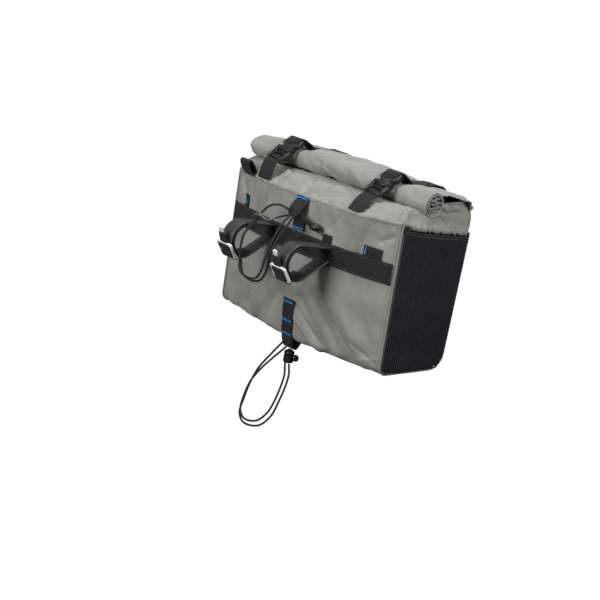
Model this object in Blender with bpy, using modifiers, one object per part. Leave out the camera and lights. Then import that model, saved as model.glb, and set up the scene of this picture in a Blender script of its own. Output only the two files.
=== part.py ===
"""A roll-top handlebar bag on its two bar straps. Metres, +Z up.

+X is the rider's right, +Y points ahead of the rider, and the origin is the centre of the handlebar
that the bar straps hold.
"""

import math

import bmesh
import bpy
from mathutils import Matrix, Vector

# Cloth, webbing and the small gaps between pieces
GAP = 0.0003
SEAT = 0.0006  # between a strip and the uneven cloth that it lies on
CLOTH = 0.0015
ROLL_CLOTH = 0.0012
NET = 0.0010
WEBBING = 0.0014

# The main bag
BAG_WIDTH = 0.294
BAG_DEPTH = 0.110
BAR_TO_BAG = 0.065  # from the bar's centre to the back edge of the end panels
BAG_DROP = 0.110  # from the bar's centre down to the bottom
BOTTOM_SAG = 0.003
BACK_BULGE = 0.021
FRONT_BULGE = 0.010
END_BULGE = 0.003
FRONT_TAPER = 0.010  # the front wall leans out by this much from bottom to top
BOTTOM_RADIUS = 0.020
CORNER_RADIUS = 0.003
SEAM_RISE = 0.068
SEAM_SAG = 0.004
SEAM_DIP = 0.0055  # how much lower the seam is at the left end than at the right
FRONT_RISE = 0.086
GUSSET_INSET = 0.007
GUSSET_RISE = 0.072
FOLD_DEPTH = 0.004
FOLD_WIDTH = 0.009

# The rolled mouth
ROLL_RADIUS = 0.0125
ROLL_CORE = 0.0037
ROLL_TURNS = 2.25
ROLL_PINCH = 0.0046  # how much flatter the roll is under each closure
ROLL_PINCH_SPAN = 0.021
RIM_DROP = 0.0042  # from the roll down to the rim of the cloth under it
ROLL_OVERHANG = 0.003
ROLL_LENGTH = BAG_WIDTH + 2 * ROLL_OVERHANG
ROLL_RISE = 0.0895
FLAP_RISE = 0.0930
FLAP_CROWN = 0.0050
FLAP_LIP = 0.0060
STIFFENER_WIDTH = 0.0058
STIFFENER_THICKNESS = 0.0012

# The end pockets
POCKET_INSET = 0.0042
POCKET_RISE_BACK = 0.066
POCKET_RISE_FRONT = 0.055
BINDING_HEIGHT = 0.010
BINDING_THICKNESS = 0.0016
PIPING_RADIUS = 0.0011

# The webbing on the back panel
BAND_HEIGHT = 0.025
BAND_BOTTOM = -0.004
CENTRE_WIDTH = 0.021
UPPER_TOP = 0.0625
UPPER_BOTTOM = 0.0225
UPPER_BOW = 0.0095
# How far the upper daisy webbing bows off the panel: share of its length, share of the bow
UPPER_SHAPE = (
    (0.00, 0.0),
    (0.10, 0.0),
    (0.30, 0.75),
    (0.45, 1.0),
    (0.58, 0.85),
    (0.68, 0.2),
    (0.74, 0.0),
    (1.00, 0.0),
)
LOWER_TOP = -0.062
LOWER_HANG = 0.009

# The closures over the roll
CLOSURE_SPREAD = 0.082  # from the middle of the bag to each closure
CLOSURE_WIDTH = 0.025
CLOSURE_END = 0.010  # where the strap ends on the front panel
BUCKLE_LENGTH = 0.041
BUCKLE_WIDTH = 0.0285
BUCKLE_THICKNESS = 0.0066
BUCKLE_TILT = math.radians(30)
BUCKLE_SHIFT = -0.005
PLUG_LENGTH = 0.015
ARM_LENGTH = 0.010
ARM_WIDTH = 0.0036
WINDOW_LENGTH = 0.0032
BUCKLE_EDGE = 0.0008

# The straps round the handlebar
BAR_RADIUS = 0.0159
BAR_SLACK = 0.0004
PAD_THICKNESS = 0.0030
STRAP_THICKNESS = 0.0024
STRAP_WIDTH = 0.020
STRAP_SPREAD = 0.050
STRAP_TOP_RISE = 0.016
STRAP_FOOT_RISE = 0.001
FRAME_WIDTH = 0.0270
FRAME_LENGTH = 0.021
FRAME_THICKNESS = 0.0032
FRAME_SIDE = 0.0030
FRAME_ANGLE = math.radians(214)
TAIL_WIDTH = 0.012
TAIL_LENGTH = 0.013
TIP_WIDTH = 0.0065
TIP_LENGTH = 0.0075
TIP_THICKNESS = 0.0022

# Cords, hook, knob and lock
CORD = 0.0026
LOCK_RADIUS = 0.0065
LOCK_LENGTH = 0.017
BALL_RADIUS = 0.0042
KNOB_LENGTH = 0.0135
KNOB_HEIGHT = 0.0110
KNOB_THICKNESS = 0.0095
HOOK_WIRE = 0.0030
PULL_WIDTH = 0.0055
PULL_THICKNESS = 0.0012

HALF = BAG_WIDTH / 2
BOTTOM = -BAG_DROP
FRONT_Y = BAR_TO_BAG + BAG_DEPTH
STRAP_RADIUS = BAR_RADIUS + BAR_SLACK + PAD_THICKNESS + GAP + STRAP_THICKNESS / 2

# Sections of the shoulder, from the bag's left to its right: share of the half width, how far ahead of the
# seam its crest lies as a share of the depth, and how high over the seam as a share of the rise to the roll
SHOULDER_COLUMNS = ("across", "crest_ahead", "crest_rise")
SHOULDER = (
    (-1.00, 0.07, 0.75),
    (-0.60, 0.12, 0.80),
    (0.00, 0.24, 0.80),
    (0.40, 0.20, 0.85),
    (0.80, 0.10, 1.05),
    (1.00, 0.04, 1.25),
)

# The roll's centre line: share of the half length, and how far ahead of the bag's back edge, as a share
# of the depth; rise is a share of the roll's radius
ROLL_COLUMNS = ("across", "ahead", "rise", "radius")
ROLL_LINE = (
    (-1.00, 0.22, 0.10, 1.06),
    (-0.75, 0.24, 0.20, 1.16),
    (-0.27, 0.27, 0.28, 1.02),
    (0.00, 0.30, 0.25, 0.96),
    (0.27, 0.32, 0.22, 0.98),
    (0.80, 0.36, 0.08, 0.96),
    (1.00, 0.38, 0.02, 0.90),
)

# Folds of the cloth. Across is a share of the half width. Up is 0 at the bottom, 1 at the seam and 2 under
# the roll. Depth is a share of the fold depth, out when positive, and width a share of the fold width.
FOLD_COLUMNS = ("side", "across", "up", "across_end", "up_end", "depth", "width")
FOLDS = (
    ("back", -0.92, 0.98, -0.80, 0.72, -0.70, 0.60),
    ("back", -0.72, 1.00, -0.62, 0.70, -0.45, 0.80),
    ("back", 0.67, 1.00, 0.58, 0.78, 0.70, 1.00),
    ("back", 0.74, 0.97, 0.66, 0.76, -0.60, 0.70),
    ("back", 0.12, 0.30, 0.46, 0.02, -0.90, 1.00),
    ("back", 0.26, 0.36, 0.66, 0.03, -0.80, 1.10),
    ("back", 0.42, 0.42, 0.76, 0.16, 0.60, 1.30),
    ("back", -0.14, 0.30, -0.44, 0.02, -0.70, 1.10),
    ("back", -0.30, 0.40, -0.74, 0.04, -0.60, 1.20),
    ("back", 0.05, 1.08, 0.20, 1.80, 0.80, 0.80),
    ("back", 0.10, 1.10, 0.34, 1.60, -0.80, 0.80),
    ("back", 0.30, 1.05, 0.58, 1.25, -0.60, 0.90),
    ("back", -0.42, 1.10, -0.52, 1.70, -0.60, 0.80),
    ("back", -0.20, 1.20, -0.44, 1.60, 0.50, 1.00),
    ("back", 0.86, 1.20, 0.96, 1.60, -0.50, 0.80),
    ("front", -0.60, 0.85, -0.30, 0.30, -0.60, 1.40),
    ("front", 0.60, 0.85, 0.34, 0.30, -0.60, 1.40),
    ("front", -0.10, 0.80, 0.06, 0.20, 0.50, 2.00),
    ("front", 0.85, 0.40, 0.55, 0.05, -0.70, 1.20),
    ("front", -0.85, 0.40, -0.55, 0.05, -0.70, 1.20),
)

# Webbing tabs above the band: centre across, width, how far they stand over the band's top, thickness
TAB_COLUMNS = ("name", "across", "width", "height", "thickness")
TABS = (
    ("webbing_tab_outer_left", -0.115, 0.0105, 0.0150, 0.0016),
    ("webbing_tab_inner_right", 0.050, 0.0135, 0.0090, 0.0024),
    ("webbing_tab_outer_right", 0.116, 0.0260, 0.0120, 0.0024),
)

# Routes of the cords, chosen by hand
STEM_CORD_REAR = (
    (0.0045, 0.0321, 0.0445),
    (0.0048, 0.0250, 0.0430),
    (0.0100, 0.0080, 0.0330),
    (0.0170, -0.0060, 0.0220),
    (0.0215, -0.0170, 0.0080),
    (0.0225, -0.0215, -0.0060),
    (0.0210, -0.0235, -0.0200),
    (0.0140, -0.0245, -0.0290),
    (0.0000, -0.0250, -0.0315),
    (-0.0140, -0.0240, -0.0285),
    (-0.0215, -0.0210, -0.0190),
    (-0.0240, -0.0200, -0.0040),
    (-0.0270, -0.0150, 0.0120),
    (-0.0330, -0.0010, 0.0235),
    (-0.0398, 0.0135, 0.0287),
)
STEM_CORD_FRONT = (
    (0.0085, 0.0321, 0.0445),
    (0.0105, 0.0230, 0.0415),
    (0.0160, 0.0080, 0.0290),
    (0.0215, -0.0050, 0.0200),
    (0.0258, -0.0160, 0.0070),
    (0.0250, -0.0175, -0.0080),
    (0.0235, -0.0185, -0.0215),
    (0.0155, -0.0195, -0.0320),
    (0.0000, -0.0200, -0.0350),
    (-0.0155, -0.0190, -0.0315),
    (-0.0240, -0.0160, -0.0210),
    (-0.0270, -0.0175, -0.0050),
    (-0.0305, -0.0130, 0.0105),
    (-0.0350, 0.0010, 0.0195),
    (-0.0420, 0.0160, 0.0262),
)
HOOK_CORD = (
    (-0.0040, 0.0318, 0.0450),
    (-0.0048, 0.0285, 0.0462),
    (-0.0090, 0.0265, 0.0474),
    (-0.0170, 0.0260, 0.0480),
    (-0.0250, 0.0230, 0.0470),
    (-0.0320, 0.0200, 0.0430),
    (-0.0365, 0.0175, 0.0370),
    (-0.0380, 0.0150, 0.0335),
)
HOOK_STRAND = (
    (-0.0020, 0.0325, 0.0404),
    (-0.0055, 0.0275, 0.0388),
    (-0.0105, 0.0220, 0.0362),
    (-0.0149, 0.0175, 0.0330),
)
PULL_STRIP = (
    (0.0116, 0.0332, 0.0436),
    (0.0160, 0.0332, 0.0420),
    (0.0215, 0.0336, 0.0388),
    (0.0277, 0.0349, 0.0363),
)
HOOK_LINE = (
    (-0.0155, 0.0170, 0.0325),
    (-0.0185, 0.0146, 0.0303),
    (-0.0240, 0.0130, 0.0290),
    (-0.0320, 0.0120, 0.0310),
    (-0.0380, 0.0105, 0.0315),
    (-0.0430, 0.0105, 0.0300),
    (-0.0450, 0.0115, 0.0260),
)
HEAD_CORD_OUTER = (
    (-0.0040, 0.0530, -0.1155),
    (-0.0080, 0.0500, -0.1220),
    (-0.0160, 0.0430, -0.1380),
    (-0.0240, 0.0350, -0.1560),
    (-0.0275, 0.0280, -0.1760),
    (-0.0265, 0.0210, -0.1950),
    (-0.0190, 0.0110, -0.2090),
    (0.0000, 0.0045, -0.2150),
    (0.0185, 0.0110, -0.2120),
    (0.0255, 0.0220, -0.1990),
    (0.0270, 0.0300, -0.1800),
    (0.0240, 0.0390, -0.1640),
    (0.0160, 0.0490, -0.1540),
    (0.0075, 0.0555, -0.1480),
    (0.0035, 0.0578, -0.1446),
)
HEAD_CORD_INNER = (
    (0.0040, 0.0530, -0.1155),
    (0.0020, 0.0490, -0.1230),
    (-0.0080, 0.0405, -0.1390),
    (-0.0180, 0.0325, -0.1560),
    (-0.0235, 0.0250, -0.1720),
    (-0.0230, 0.0175, -0.1890),
    (-0.0165, 0.0095, -0.2035),
    (0.0000, 0.0040, -0.2095),
    (0.0160, 0.0095, -0.2065),
    (0.0225, 0.0195, -0.1940),
    (0.0230, 0.0280, -0.1770),
    (0.0190, 0.0370, -0.1630),
    (0.0110, 0.0465, -0.1545),
    (0.0010, 0.0545, -0.1490),
    (-0.0035, 0.0578, -0.1446),
)
LOCK_PLACE = (0.000, 0.0590, -0.1350)
BALL_PLACE = (0.0110, 0.0600, -0.1345)
KNOB_PLACE = (0.0340, 0.0372, 0.0350)

# The mesh lines along the bag and round each section
STATIONS_ACROSS = 24
SHOULDER_STEPS = 3
WALL_STEPS = 8
CORNER_STEPS = 3
BOTTOM_STEPS = 5
SPIRAL_STEPS = 8


def clear_scene():
    for obj in list(bpy.data.objects):
        bpy.data.objects.remove(obj)


def collection(name):
    made = bpy.data.collections.new(name)
    bpy.context.scene.collection.children.link(made)
    return made


def material(name, colour, roughness, metallic=0.0):
    made = bpy.data.materials.new(name)
    made.use_nodes = True
    shader = made.node_tree.nodes["Principled BSDF"]
    shader.inputs["Base Color"].default_value = (*colour, 1.0)
    shader.inputs["Roughness"].default_value = roughness
    shader.inputs["Metallic"].default_value = metallic
    made.diffuse_color = (*colour, 1.0)
    return made


clear_scene()
BAG = collection("handlebar_bag")
CUTTERS = collection("cutters")
CLOTH_GREY = material("grey_green_cloth", (0.27, 0.28, 0.25), 0.75)
NET_BLACK = material("black_net", (0.012, 0.012, 0.014), 0.85)
WEBBING_BLACK = material("black_webbing", (0.016, 0.016, 0.017), 0.80)
PLASTIC_BLACK = material("black_plastic", (0.018, 0.018, 0.020), 0.35)
RUBBER_GREY = material("satin_rubber", (0.035, 0.036, 0.038), 0.50)
PALE_GREY = material("pale_hardware", (0.55, 0.58, 0.56), 0.40)
CORD_BLACK = material("black_cord", (0.020, 0.020, 0.021), 0.70)


def named(row, columns):
    return dict(zip(columns, row))


def clamp(value, low=0.0, high=1.0):
    return max(low, min(high, value))


def smooth(value):
    value = clamp(value)
    return value * value * (3 - 2 * value)


def blend(a, b, t):
    return a + (b - a) * t


def along(rows, columns, across, column):
    """The table's column at this share across, eased from row to row."""
    table = [named(row, columns) for row in rows]
    across = clamp(across, table[0]["across"], table[-1]["across"])
    for low, high in zip(table, table[1:]):
        if across <= high["across"]:
            t = (across - low["across"]) / (high["across"] - low["across"])
            return blend(low[column], high[column], smooth(t))
    return table[-1][column]


def mesh_object(name, points, faces, look, smooth_angle=40):
    mesh = bpy.data.meshes.new(name)
    mesh.from_pydata([tuple(p) for p in points], [], faces)
    mesh.update()
    made = bpy.data.objects.new(name, mesh)
    BAG.objects.link(made)
    mesh.materials.append(look)
    mesh.shade_smooth()
    mesh.set_sharp_from_angle(angle=math.radians(smooth_angle))
    return made


def thicken(made, thickness, side):
    """Solidify: side 1 grows along the faces' normals, -1 against them, 0 both ways."""
    solid = made.modifiers.new("thickness", "SOLIDIFY")
    solid.thickness = thickness
    solid.offset = side
    solid.use_even_offset = True
    return made


def grid_sheet(name, rows, look, thickness, side, smooth_angle=40):
    """A sheet through a grid of points, rows by columns."""
    columns = len(rows[0])
    points = [p for row in rows for p in row]
    faces = []
    for i in range(len(rows) - 1):
        for j in range(columns - 1):
            a = i * columns + j
            faces.append((a, a + 1, a + columns + 1, a + columns))
    return thicken(mesh_object(name, points, faces, look, smooth_angle), thickness, side)


def ribbon(name, path, width, thickness, look, across=(1, 0, 0)):
    """A flat strip whose middle follows path, its width laid along one direction."""
    reach = Vector(across).normalized() * (width / 2)
    rows = [(Vector(p) - reach, Vector(p) + reach) for p in path]
    return grid_sheet(name, rows, look, thickness, 0, 25)


def tube(name, path, radius, look, sides=2):
    curve = bpy.data.curves.new(name, "CURVE")
    curve.dimensions = "3D"
    curve.bevel_depth = radius
    curve.bevel_resolution = sides
    curve.use_fill_caps = True
    spline = curve.splines.new("POLY")
    spline.points.add(len(path) - 1)
    for point, place in zip(spline.points, path):
        point.co = (*place, 1.0)
    spline.use_smooth = True
    curve.materials.append(look)
    made = bpy.data.objects.new(name, curve)
    BAG.objects.link(made)
    return made


def smooth_route(points, step):
    """Points about a step apart on a Catmull-Rom curve through the route's own points."""
    chosen = [Vector(p) for p in points]
    chosen = [2 * chosen[0] - chosen[1], *chosen, 2 * chosen[-1] - chosen[-2]]
    route = []
    for a, b, c, d in zip(chosen, chosen[1:], chosen[2:], chosen[3:]):
        count = max(1, round((c - b).length / step))
        for k in range(count):
            t = k / count
            route.append(
                0.5 * (2 * b + (c - a) * t + (2 * a - 5 * b + 4 * c - d) * t * t
                       + (3 * b - 3 * c + d - a) * t ** 3)
            )
    return [*route, chosen[-2]]


def box(name, size, look=None, edge=0.0):
    """A box about the origin. Without a look it is a cutter."""
    mesh = bpy.data.meshes.new(name)
    shape = bmesh.new()
    bmesh.ops.create_cube(shape, size=1.0)
    bmesh.ops.scale(shape, vec=size, verts=shape.verts)
    shape.to_mesh(mesh)
    shape.free()
    made = bpy.data.objects.new(name, mesh)
    if look is None:
        made.hide_render = True
        made.display_type = "WIRE"
        CUTTERS.objects.link(made)
    else:
        mesh.materials.append(look)
        BAG.objects.link(made)
    return made


def boolean(made, other, operation="DIFFERENCE"):
    cut = made.modifiers.new(other.name, "BOOLEAN")
    cut.operation = operation
    cut.object = other


def soften(made, width, segments=1):
    rounded = made.modifiers.new("edge", "BEVEL")
    rounded.width = width
    rounded.segments = segments
    rounded.limit_method = "ANGLE"


def fold_push(side, across, up):
    """How far the folds push the cloth out at this place, in metres."""
    total = 0.0
    height = SEAM_RISE - BOTTOM
    for row in FOLDS:
        fold = named(row, FOLD_COLUMNS)
        if fold["side"] != side:
            continue
        start = Vector((fold["across"] * HALF, fold["up"] * height))
        end = Vector((fold["across_end"] * HALF, fold["up_end"] * height))
        place = Vector((across * HALF, up * height))
        run = end - start
        t = clamp((place - start).dot(run) / run.length_squared)
        distance = (place - start - run * t).length
        width = fold["width"] * FOLD_WIDTH
        total += fold["depth"] * FOLD_DEPTH * math.exp(-((distance / width) ** 2))
    return total


def roll_centre(x):
    across = x / (ROLL_LENGTH / 2)
    ahead = BAR_TO_BAG + BAG_DEPTH * along(ROLL_LINE, ROLL_COLUMNS, across, "ahead")
    rise = ROLL_RISE + ROLL_RADIUS * along(ROLL_LINE, ROLL_COLUMNS, across, "rise")
    return ahead, rise - pinch(x)


def pinch(x):
    """How far the closures press the roll in at this place."""
    return sum(
        ROLL_PINCH * math.exp(-(((x - sign * CLOSURE_SPREAD) / ROLL_PINCH_SPAN) ** 4)) for sign in (-1, 1)
    )


def roll_radius(x):
    across = x / (ROLL_LENGTH / 2)
    return ROLL_RADIUS * along(ROLL_LINE, ROLL_COLUMNS, across, "radius") - pinch(x)


def crown(across, power):
    return max(0.0, 1 - abs(across) ** power)


def seam_z(across):
    return SEAM_RISE - SEAM_SAG * crown(across, 2) - SEAM_DIP * smooth((-0.15 - across) / 0.85)


def back_y(across, z):
    height = clamp((z - BOTTOM) / (SEAM_RISE - BOTTOM))
    fullness = 0.62 + 0.38 * math.sin(math.pi * min(height, 0.5))
    return BAR_TO_BAG - BACK_BULGE * crown(across, 2.2) ** 0.9 * fullness


def front_y(across, z):
    height = clamp((z - BOTTOM) / (FRONT_RISE - BOTTOM))
    fullness = math.sin(math.pi * clamp(0.15 + 0.70 * height))
    return FRONT_Y - FRONT_TAPER * (1 - height) + FRONT_BULGE * crown(across, 2.5) * fullness


def bottom_z(across):
    return BOTTOM - BOTTOM_SAG * crown(across, 2)


def rim_point(x):
    """The shell's upper back edge, just under the roll."""
    ahead, rise = roll_centre(x)
    return ahead - 0.2 * ROLL_RADIUS, rise - roll_radius(x) - RIM_DROP


def section(across):
    """The bag's outline at one station: (y, z, side, up), from the back rim round to the front rim."""
    floor = bottom_z(across)
    seam = (back_y(across, seam_z(across)), seam_z(across))
    rim = rim_point(across * HALF)
    rise = ROLL_RISE - SEAM_RISE
    crest = (
        seam[0] + BAG_DEPTH * along(SHOULDER, SHOULDER_COLUMNS, across, "crest_ahead"),
        seam[1] + rise * along(SHOULDER, SHOULDER_COLUMNS, across, "crest_rise"),
    )
    outline = []
    for k in range(SHOULDER_STEPS):
        t = 1 - k / SHOULDER_STEPS
        y, z = (
            (1 - t) ** 2 * s + 2 * t * (1 - t) * c + t * t * r
            for s, c, r in zip(seam, crest, rim)
        )
        outline.append((y, z, "back", 1 + t))
    wall_foot = floor + BOTTOM_RADIUS
    for k in range(WALL_STEPS):
        z = blend(seam[1], wall_foot, k / WALL_STEPS)
        outline.append((back_y(across, z), z, "back", (z - floor) / (seam[1] - floor)))
    back = back_y(across, wall_foot)
    front = front_y(across, wall_foot)
    for k in range(CORNER_STEPS):
        angle = math.pi / 2 * k / CORNER_STEPS
        y = back + BOTTOM_RADIUS * (1 - math.cos(angle))
        z = wall_foot - BOTTOM_RADIUS * math.sin(angle)
        outline.append((y, z, "back", (z - floor) / (seam[1] - floor)))
    for k in range(BOTTOM_STEPS):
        y = blend(back + BOTTOM_RADIUS, front - BOTTOM_RADIUS, k / BOTTOM_STEPS)
        outline.append((y, floor, "bottom", 0.0))
    for k in range(CORNER_STEPS):
        angle = math.pi / 2 * k / CORNER_STEPS
        y = front - BOTTOM_RADIUS * (1 - math.sin(angle))
        z = wall_foot - BOTTOM_RADIUS * math.cos(angle)
        outline.append((y, z, "front", (z - floor) / (FRONT_RISE - floor)))
    steps = WALL_STEPS + SHOULDER_STEPS
    for k in range(steps + 1):
        z = blend(wall_foot, FRONT_RISE, k / steps)
        outline.append((front_y(across, z), z, "front", (z - floor) / (FRONT_RISE - floor)))
    return outline


def outward(points, k):
    """The unit normal of an outline that runs from the back over the bottom to the front."""
    a, b = points[max(k - 1, 0)], points[min(k + 1, len(points) - 1)]
    run = Vector((b[0] - a[0], b[1] - a[1])).normalized()
    return Vector((run.y, -run.x))


def shell_outline(across, inset=0.0):
    """The section with its folds, drawn in by inset."""
    outline = section(across)
    flat = 1 - smooth((abs(across) - 0.93) / 0.07)
    made = []
    for k, (y, z, side, up) in enumerate(outline):
        push = 0.0
        if side != "bottom":
            edge = smooth((1.98 - up) / 0.25) if side == "back" else smooth((0.93 - up) / 0.15)
            push = fold_push(side, across, up) * flat * edge
        normal = outward(outline, k)
        made.append((y + normal.x * (push - inset), z + normal.y * (push - inset)))
    return made


def gusset_inset(z):
    return GUSSET_INSET * smooth((z - GUSSET_RISE) / (FRONT_RISE - GUSSET_RISE))


def end_x(y, z, sign):
    """The end panel's outer face."""
    deep = clamp((y - BAR_TO_BAG) / BAG_DEPTH)
    high = clamp((z - BOTTOM) / (FRONT_RISE - BOTTOM))
    swell = END_BULGE * math.sin(math.pi * deep) * math.sin(math.pi * high)
    return sign * (HALF + max(0.0, swell) - gusset_inset(z))


def stations():
    """The shares across at which the bag has a section, closer together towards the ends."""
    inner = HALF - CORNER_RADIUS
    steps = [2 * k / STATIONS_ACROSS - 1 for k in range(STATIONS_ACROSS + 1)]
    shares = [math.sin(math.pi / 2 * 0.92 * step) for step in steps]
    widest = shares[-1]
    return [share / widest * inner / HALF for share in shares]


def station_points(x, inset=0.0):
    """The shell's points at one place across, with the tops of the ends leaning in."""
    across = clamp(x / HALF, -1, 1)
    return [
        Vector((x * (1 - gusset_inset(z) / HALF * smooth(abs(across))), y, z))
        for y, z in shell_outline(across, inset)
    ]


def coons(left, right, bottom, top, u, v):
    """A point of the patch between four edges, u across and v up."""
    i, j = round(u * (len(bottom) - 1)), round(v * (len(left) - 1))
    edges = left[j] * (1 - u) + right[j] * u + bottom[i] * (1 - v) + top[i] * v
    corners = (left[0] * (1 - u) * (1 - v) + right[0] * u * (1 - v)
               + left[-1] * (1 - u) * v + right[-1] * u * v)
    return edges - corners


def bag_shell():
    part_round = 0.3 * CORNER_RADIUS
    edge = HALF - part_round
    rows = [station_points(-HALF, CORNER_RADIUS), station_points(-edge, part_round)]
    rows += [station_points(share * HALF) for share in stations()]
    rows += [station_points(edge, part_round), station_points(HALF, CORNER_RADIUS)]
    columns = len(rows[0])
    points = [p for row in rows for p in row]
    faces = []
    for i in range(len(rows) - 1):
        for j in range(columns - 1):
            a = i * columns + j
            faces.append((a, a + 1, a + columns + 1, a + columns))
    for sign, row in ((-1, 0), (1, len(rows) - 1)):
        faces += end_panel(points, rows[row], row * columns, sign)
    made = mesh_object("bag_shell", points, faces, CLOTH_GREY)
    return thicken(made, CLOTH, -1)


def end_panel(points, edge, first, sign):
    """Adds the inner points of one end panel and returns its faces."""
    side = SHOULDER_STEPS + WALL_STEPS + CORNER_STEPS
    width = BOTTOM_STEPS
    flat = [Vector((p.y, p.z)) for p in edge]
    left = list(reversed(flat[: side + 1]))
    bottom = flat[side: side + width + 1]
    right = flat[side + width:]
    top = [left[-1].lerp(right[-1], i / width) for i in range(width + 1)]
    index = {}
    for j in range(side + 1):
        index[0, j] = first + side - j
        index[width, j] = first + side + width + j
    for i in range(1, width):
        index[i, 0] = first + side + i
        for j in range(1, side + 1):
            y, z = coons(left, right, bottom, top, i / width, j / side)
            index[i, j] = len(points)
            points.append(Vector((end_x(y, z, sign), y, z)))
    faces = []
    for i in range(width):
        for j in range(side):
            face = (index[i, j], index[i + 1, j], index[i + 1, j + 1], index[i, j + 1])
            faces.append(face if sign > 0 else face[::-1])
    return faces


def wall_at(x, z, side="back"):
    """The y of the shell's outer face at (x, z), as the flat facets between its stations give it."""
    shares = stations()
    across = clamp(x / HALF, shares[0], shares[-1])
    for low, high in zip(shares, shares[1:]):
        if across <= high:
            t = (across - low) / (high - low)
            return blend(outline_y(low, z, side), outline_y(high, z, side), t)
    return outline_y(shares[-1], z, side)


OUTLINES = {}


def outline_y(across, z, side):
    if across not in OUTLINES:
        OUTLINES[across] = shell_outline(across)
    outline = OUTLINES[across]
    half = SHOULDER_STEPS + WALL_STEPS + CORNER_STEPS + BOTTOM_STEPS // 2
    part = outline[:half] if side == "back" else outline[half:][::-1]
    for a, b in zip(part, part[1:]):
        if a[1] >= z >= b[1]:
            return blend(a[0], b[0], (a[1] - z) / (a[1] - b[1]))
    return part[0][0] if z > part[0][1] else part[-1][0]


def clear_wall(x, width, z, side="back", span=0.0):
    """The shell's face where it stands out most over a strip's width and a span of height."""
    places = [x + width * (k / 8 - 0.5) for k in range(9)]
    places += [share * HALF for share in stations() if abs(share * HALF - x) < width / 2]
    heights = [z + span * (k / 4 - 0.5) for k in range(5)] if span else [z]
    faces = [wall_at(place, height, side) for place in places for height in heights]
    return min(faces) if side == "back" else max(faces)


def wall_strip(x, width, start, end, steps, lift, side="back"):
    """The middle line of a strip that lies on the back or front wall between two heights."""
    step = abs(end - start) / steps
    out = -1 if side == "back" else 1
    heights = [blend(start, end, k / steps) for k in range(steps + 1)]
    return [Vector((x, clear_wall(x, width, z, side, 1.2 * step) + out * lift, z)) for z in heights]


def roll_path(x):
    """The rolled cloth at one station, from its core out, over the flap and down to the lip."""
    ahead, rise = roll_centre(x)
    across = clamp(x / HALF, -1, 1)
    path = []
    steps = round(ROLL_TURNS * SPIRAL_STEPS)
    middle = roll_radius(x) - ROLL_CLOTH / 2
    for k in range(steps + 1):
        t = k / steps
        angle = math.pi / 2 + 2 * math.pi * ROLL_TURNS * (1 - t)
        radius = blend(ROLL_CORE, middle, t)
        path.append((ahead + radius * math.cos(angle), rise + radius * math.sin(angle)))
    lip = front_y(across, FRONT_RISE) + GAP + SEAT + ROLL_CLOTH / 2
    corner = lip - 0.008
    start = path[-1]
    for k in range(1, 6):
        t = k / 5
        swell = (FLAP_CROWN * crown(across, 2) - pinch(x)) * math.sin(math.pi * t)
        path.append((blend(start[0], corner, t), blend(start[1], FLAP_RISE, t) + swell))
    path.append((lip - 0.0025, FLAP_RISE - 0.0020))
    path.append((lip, FLAP_RISE - 0.0055))
    foot = FRONT_RISE - FLAP_LIP
    path.append((front_y(across, foot) + GAP + SEAT + ROLL_CLOTH / 2, foot))
    return path


def roll_stations():
    half = ROLL_LENGTH / 2
    count = 22
    return [-half + ROLL_LENGTH * k / count for k in range(count + 1)]


def roll_top():
    rows = [[Vector((x, y, z)) for y, z in roll_path(x)] for x in roll_stations()]
    grid_sheet("roll_top", rows, CLOTH_GREY, ROLL_CLOTH, 0)


def roll_stiffener():
    lean = Vector((0, math.cos(math.radians(-50)), math.sin(math.radians(-50)))) * (STIFFENER_WIDTH / 2)
    rows = []
    for x in roll_stations():
        ahead, rise = roll_centre(x)
        centre = Vector((x, ahead, rise))
        rows.append((centre - lean, centre + lean))
    grid_sheet("roll_stiffener", rows, PLASTIC_BLACK, STIFFENER_THICKNESS, 0)


def pocket_patch(low_share, high_share, sign, lift, rows=6, columns=6):
    """A grid on the end panel, between two heights given as shares of the pocket."""
    outline = shell_outline(sign * 1.0, POCKET_INSET)
    side = SHOULDER_STEPS + WALL_STEPS + CORNER_STEPS
    back = list(reversed(outline[: side + 1]))
    front = outline[side + BOTTOM_STEPS:]

    def at_height(edge, z):
        for a, b in zip(edge, edge[1:]):
            if a[1] <= z <= b[1]:
                return blend(a[0], b[0], (z - a[1]) / (b[1] - a[1]))
        return edge[0][0] if z < edge[0][1] else edge[-1][0]

    made = []
    for j in range(rows + 1):
        share = blend(low_share, high_share, j / rows)
        low = back[0][1]
        z_back = blend(low, POCKET_RISE_BACK, share)
        z_front = blend(low, POCKET_RISE_FRONT, share)
        y_back, y_front = at_height(back, z_back), at_height(front, z_front)
        row = []
        for i in range(columns + 1):
            y = blend(y_back, y_front, i / columns)
            z = blend(z_back, z_front, i / columns)
            row.append(Vector((end_x(y, z, sign) + sign * lift, y, z)))
        made.append(row if sign > 0 else row[::-1])
    return made


def end_pockets(name, sign):
    top = 1 - BINDING_HEIGHT / (POCKET_RISE_BACK - BOTTOM)
    seam = GAP / (POCKET_RISE_BACK - BOTTOM)
    net = pocket_rows(sign, top - seam)
    grid_sheet(f"mesh_pocket_{name}", net, NET_BLACK, NET, 1)
    binding = pocket_patch(top, 1.0, sign, SEAT, rows=1, columns=8)
    grid_sheet(f"pocket_binding_{name}", binding, WEBBING_BLACK, BINDING_THICKNESS, 1)


def pocket_rows(sign, top):
    """The net's grid, with its rows closer together round the bottom corners."""
    shares = [0.0, 0.01, 0.04, 0.09, 0.2, 0.4, 0.6, 0.8, 1.0]
    rows = []
    for share in shares:
        rows += pocket_patch(share * top, share * top, sign, SEAT, rows=1)[:1]
    return rows


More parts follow.
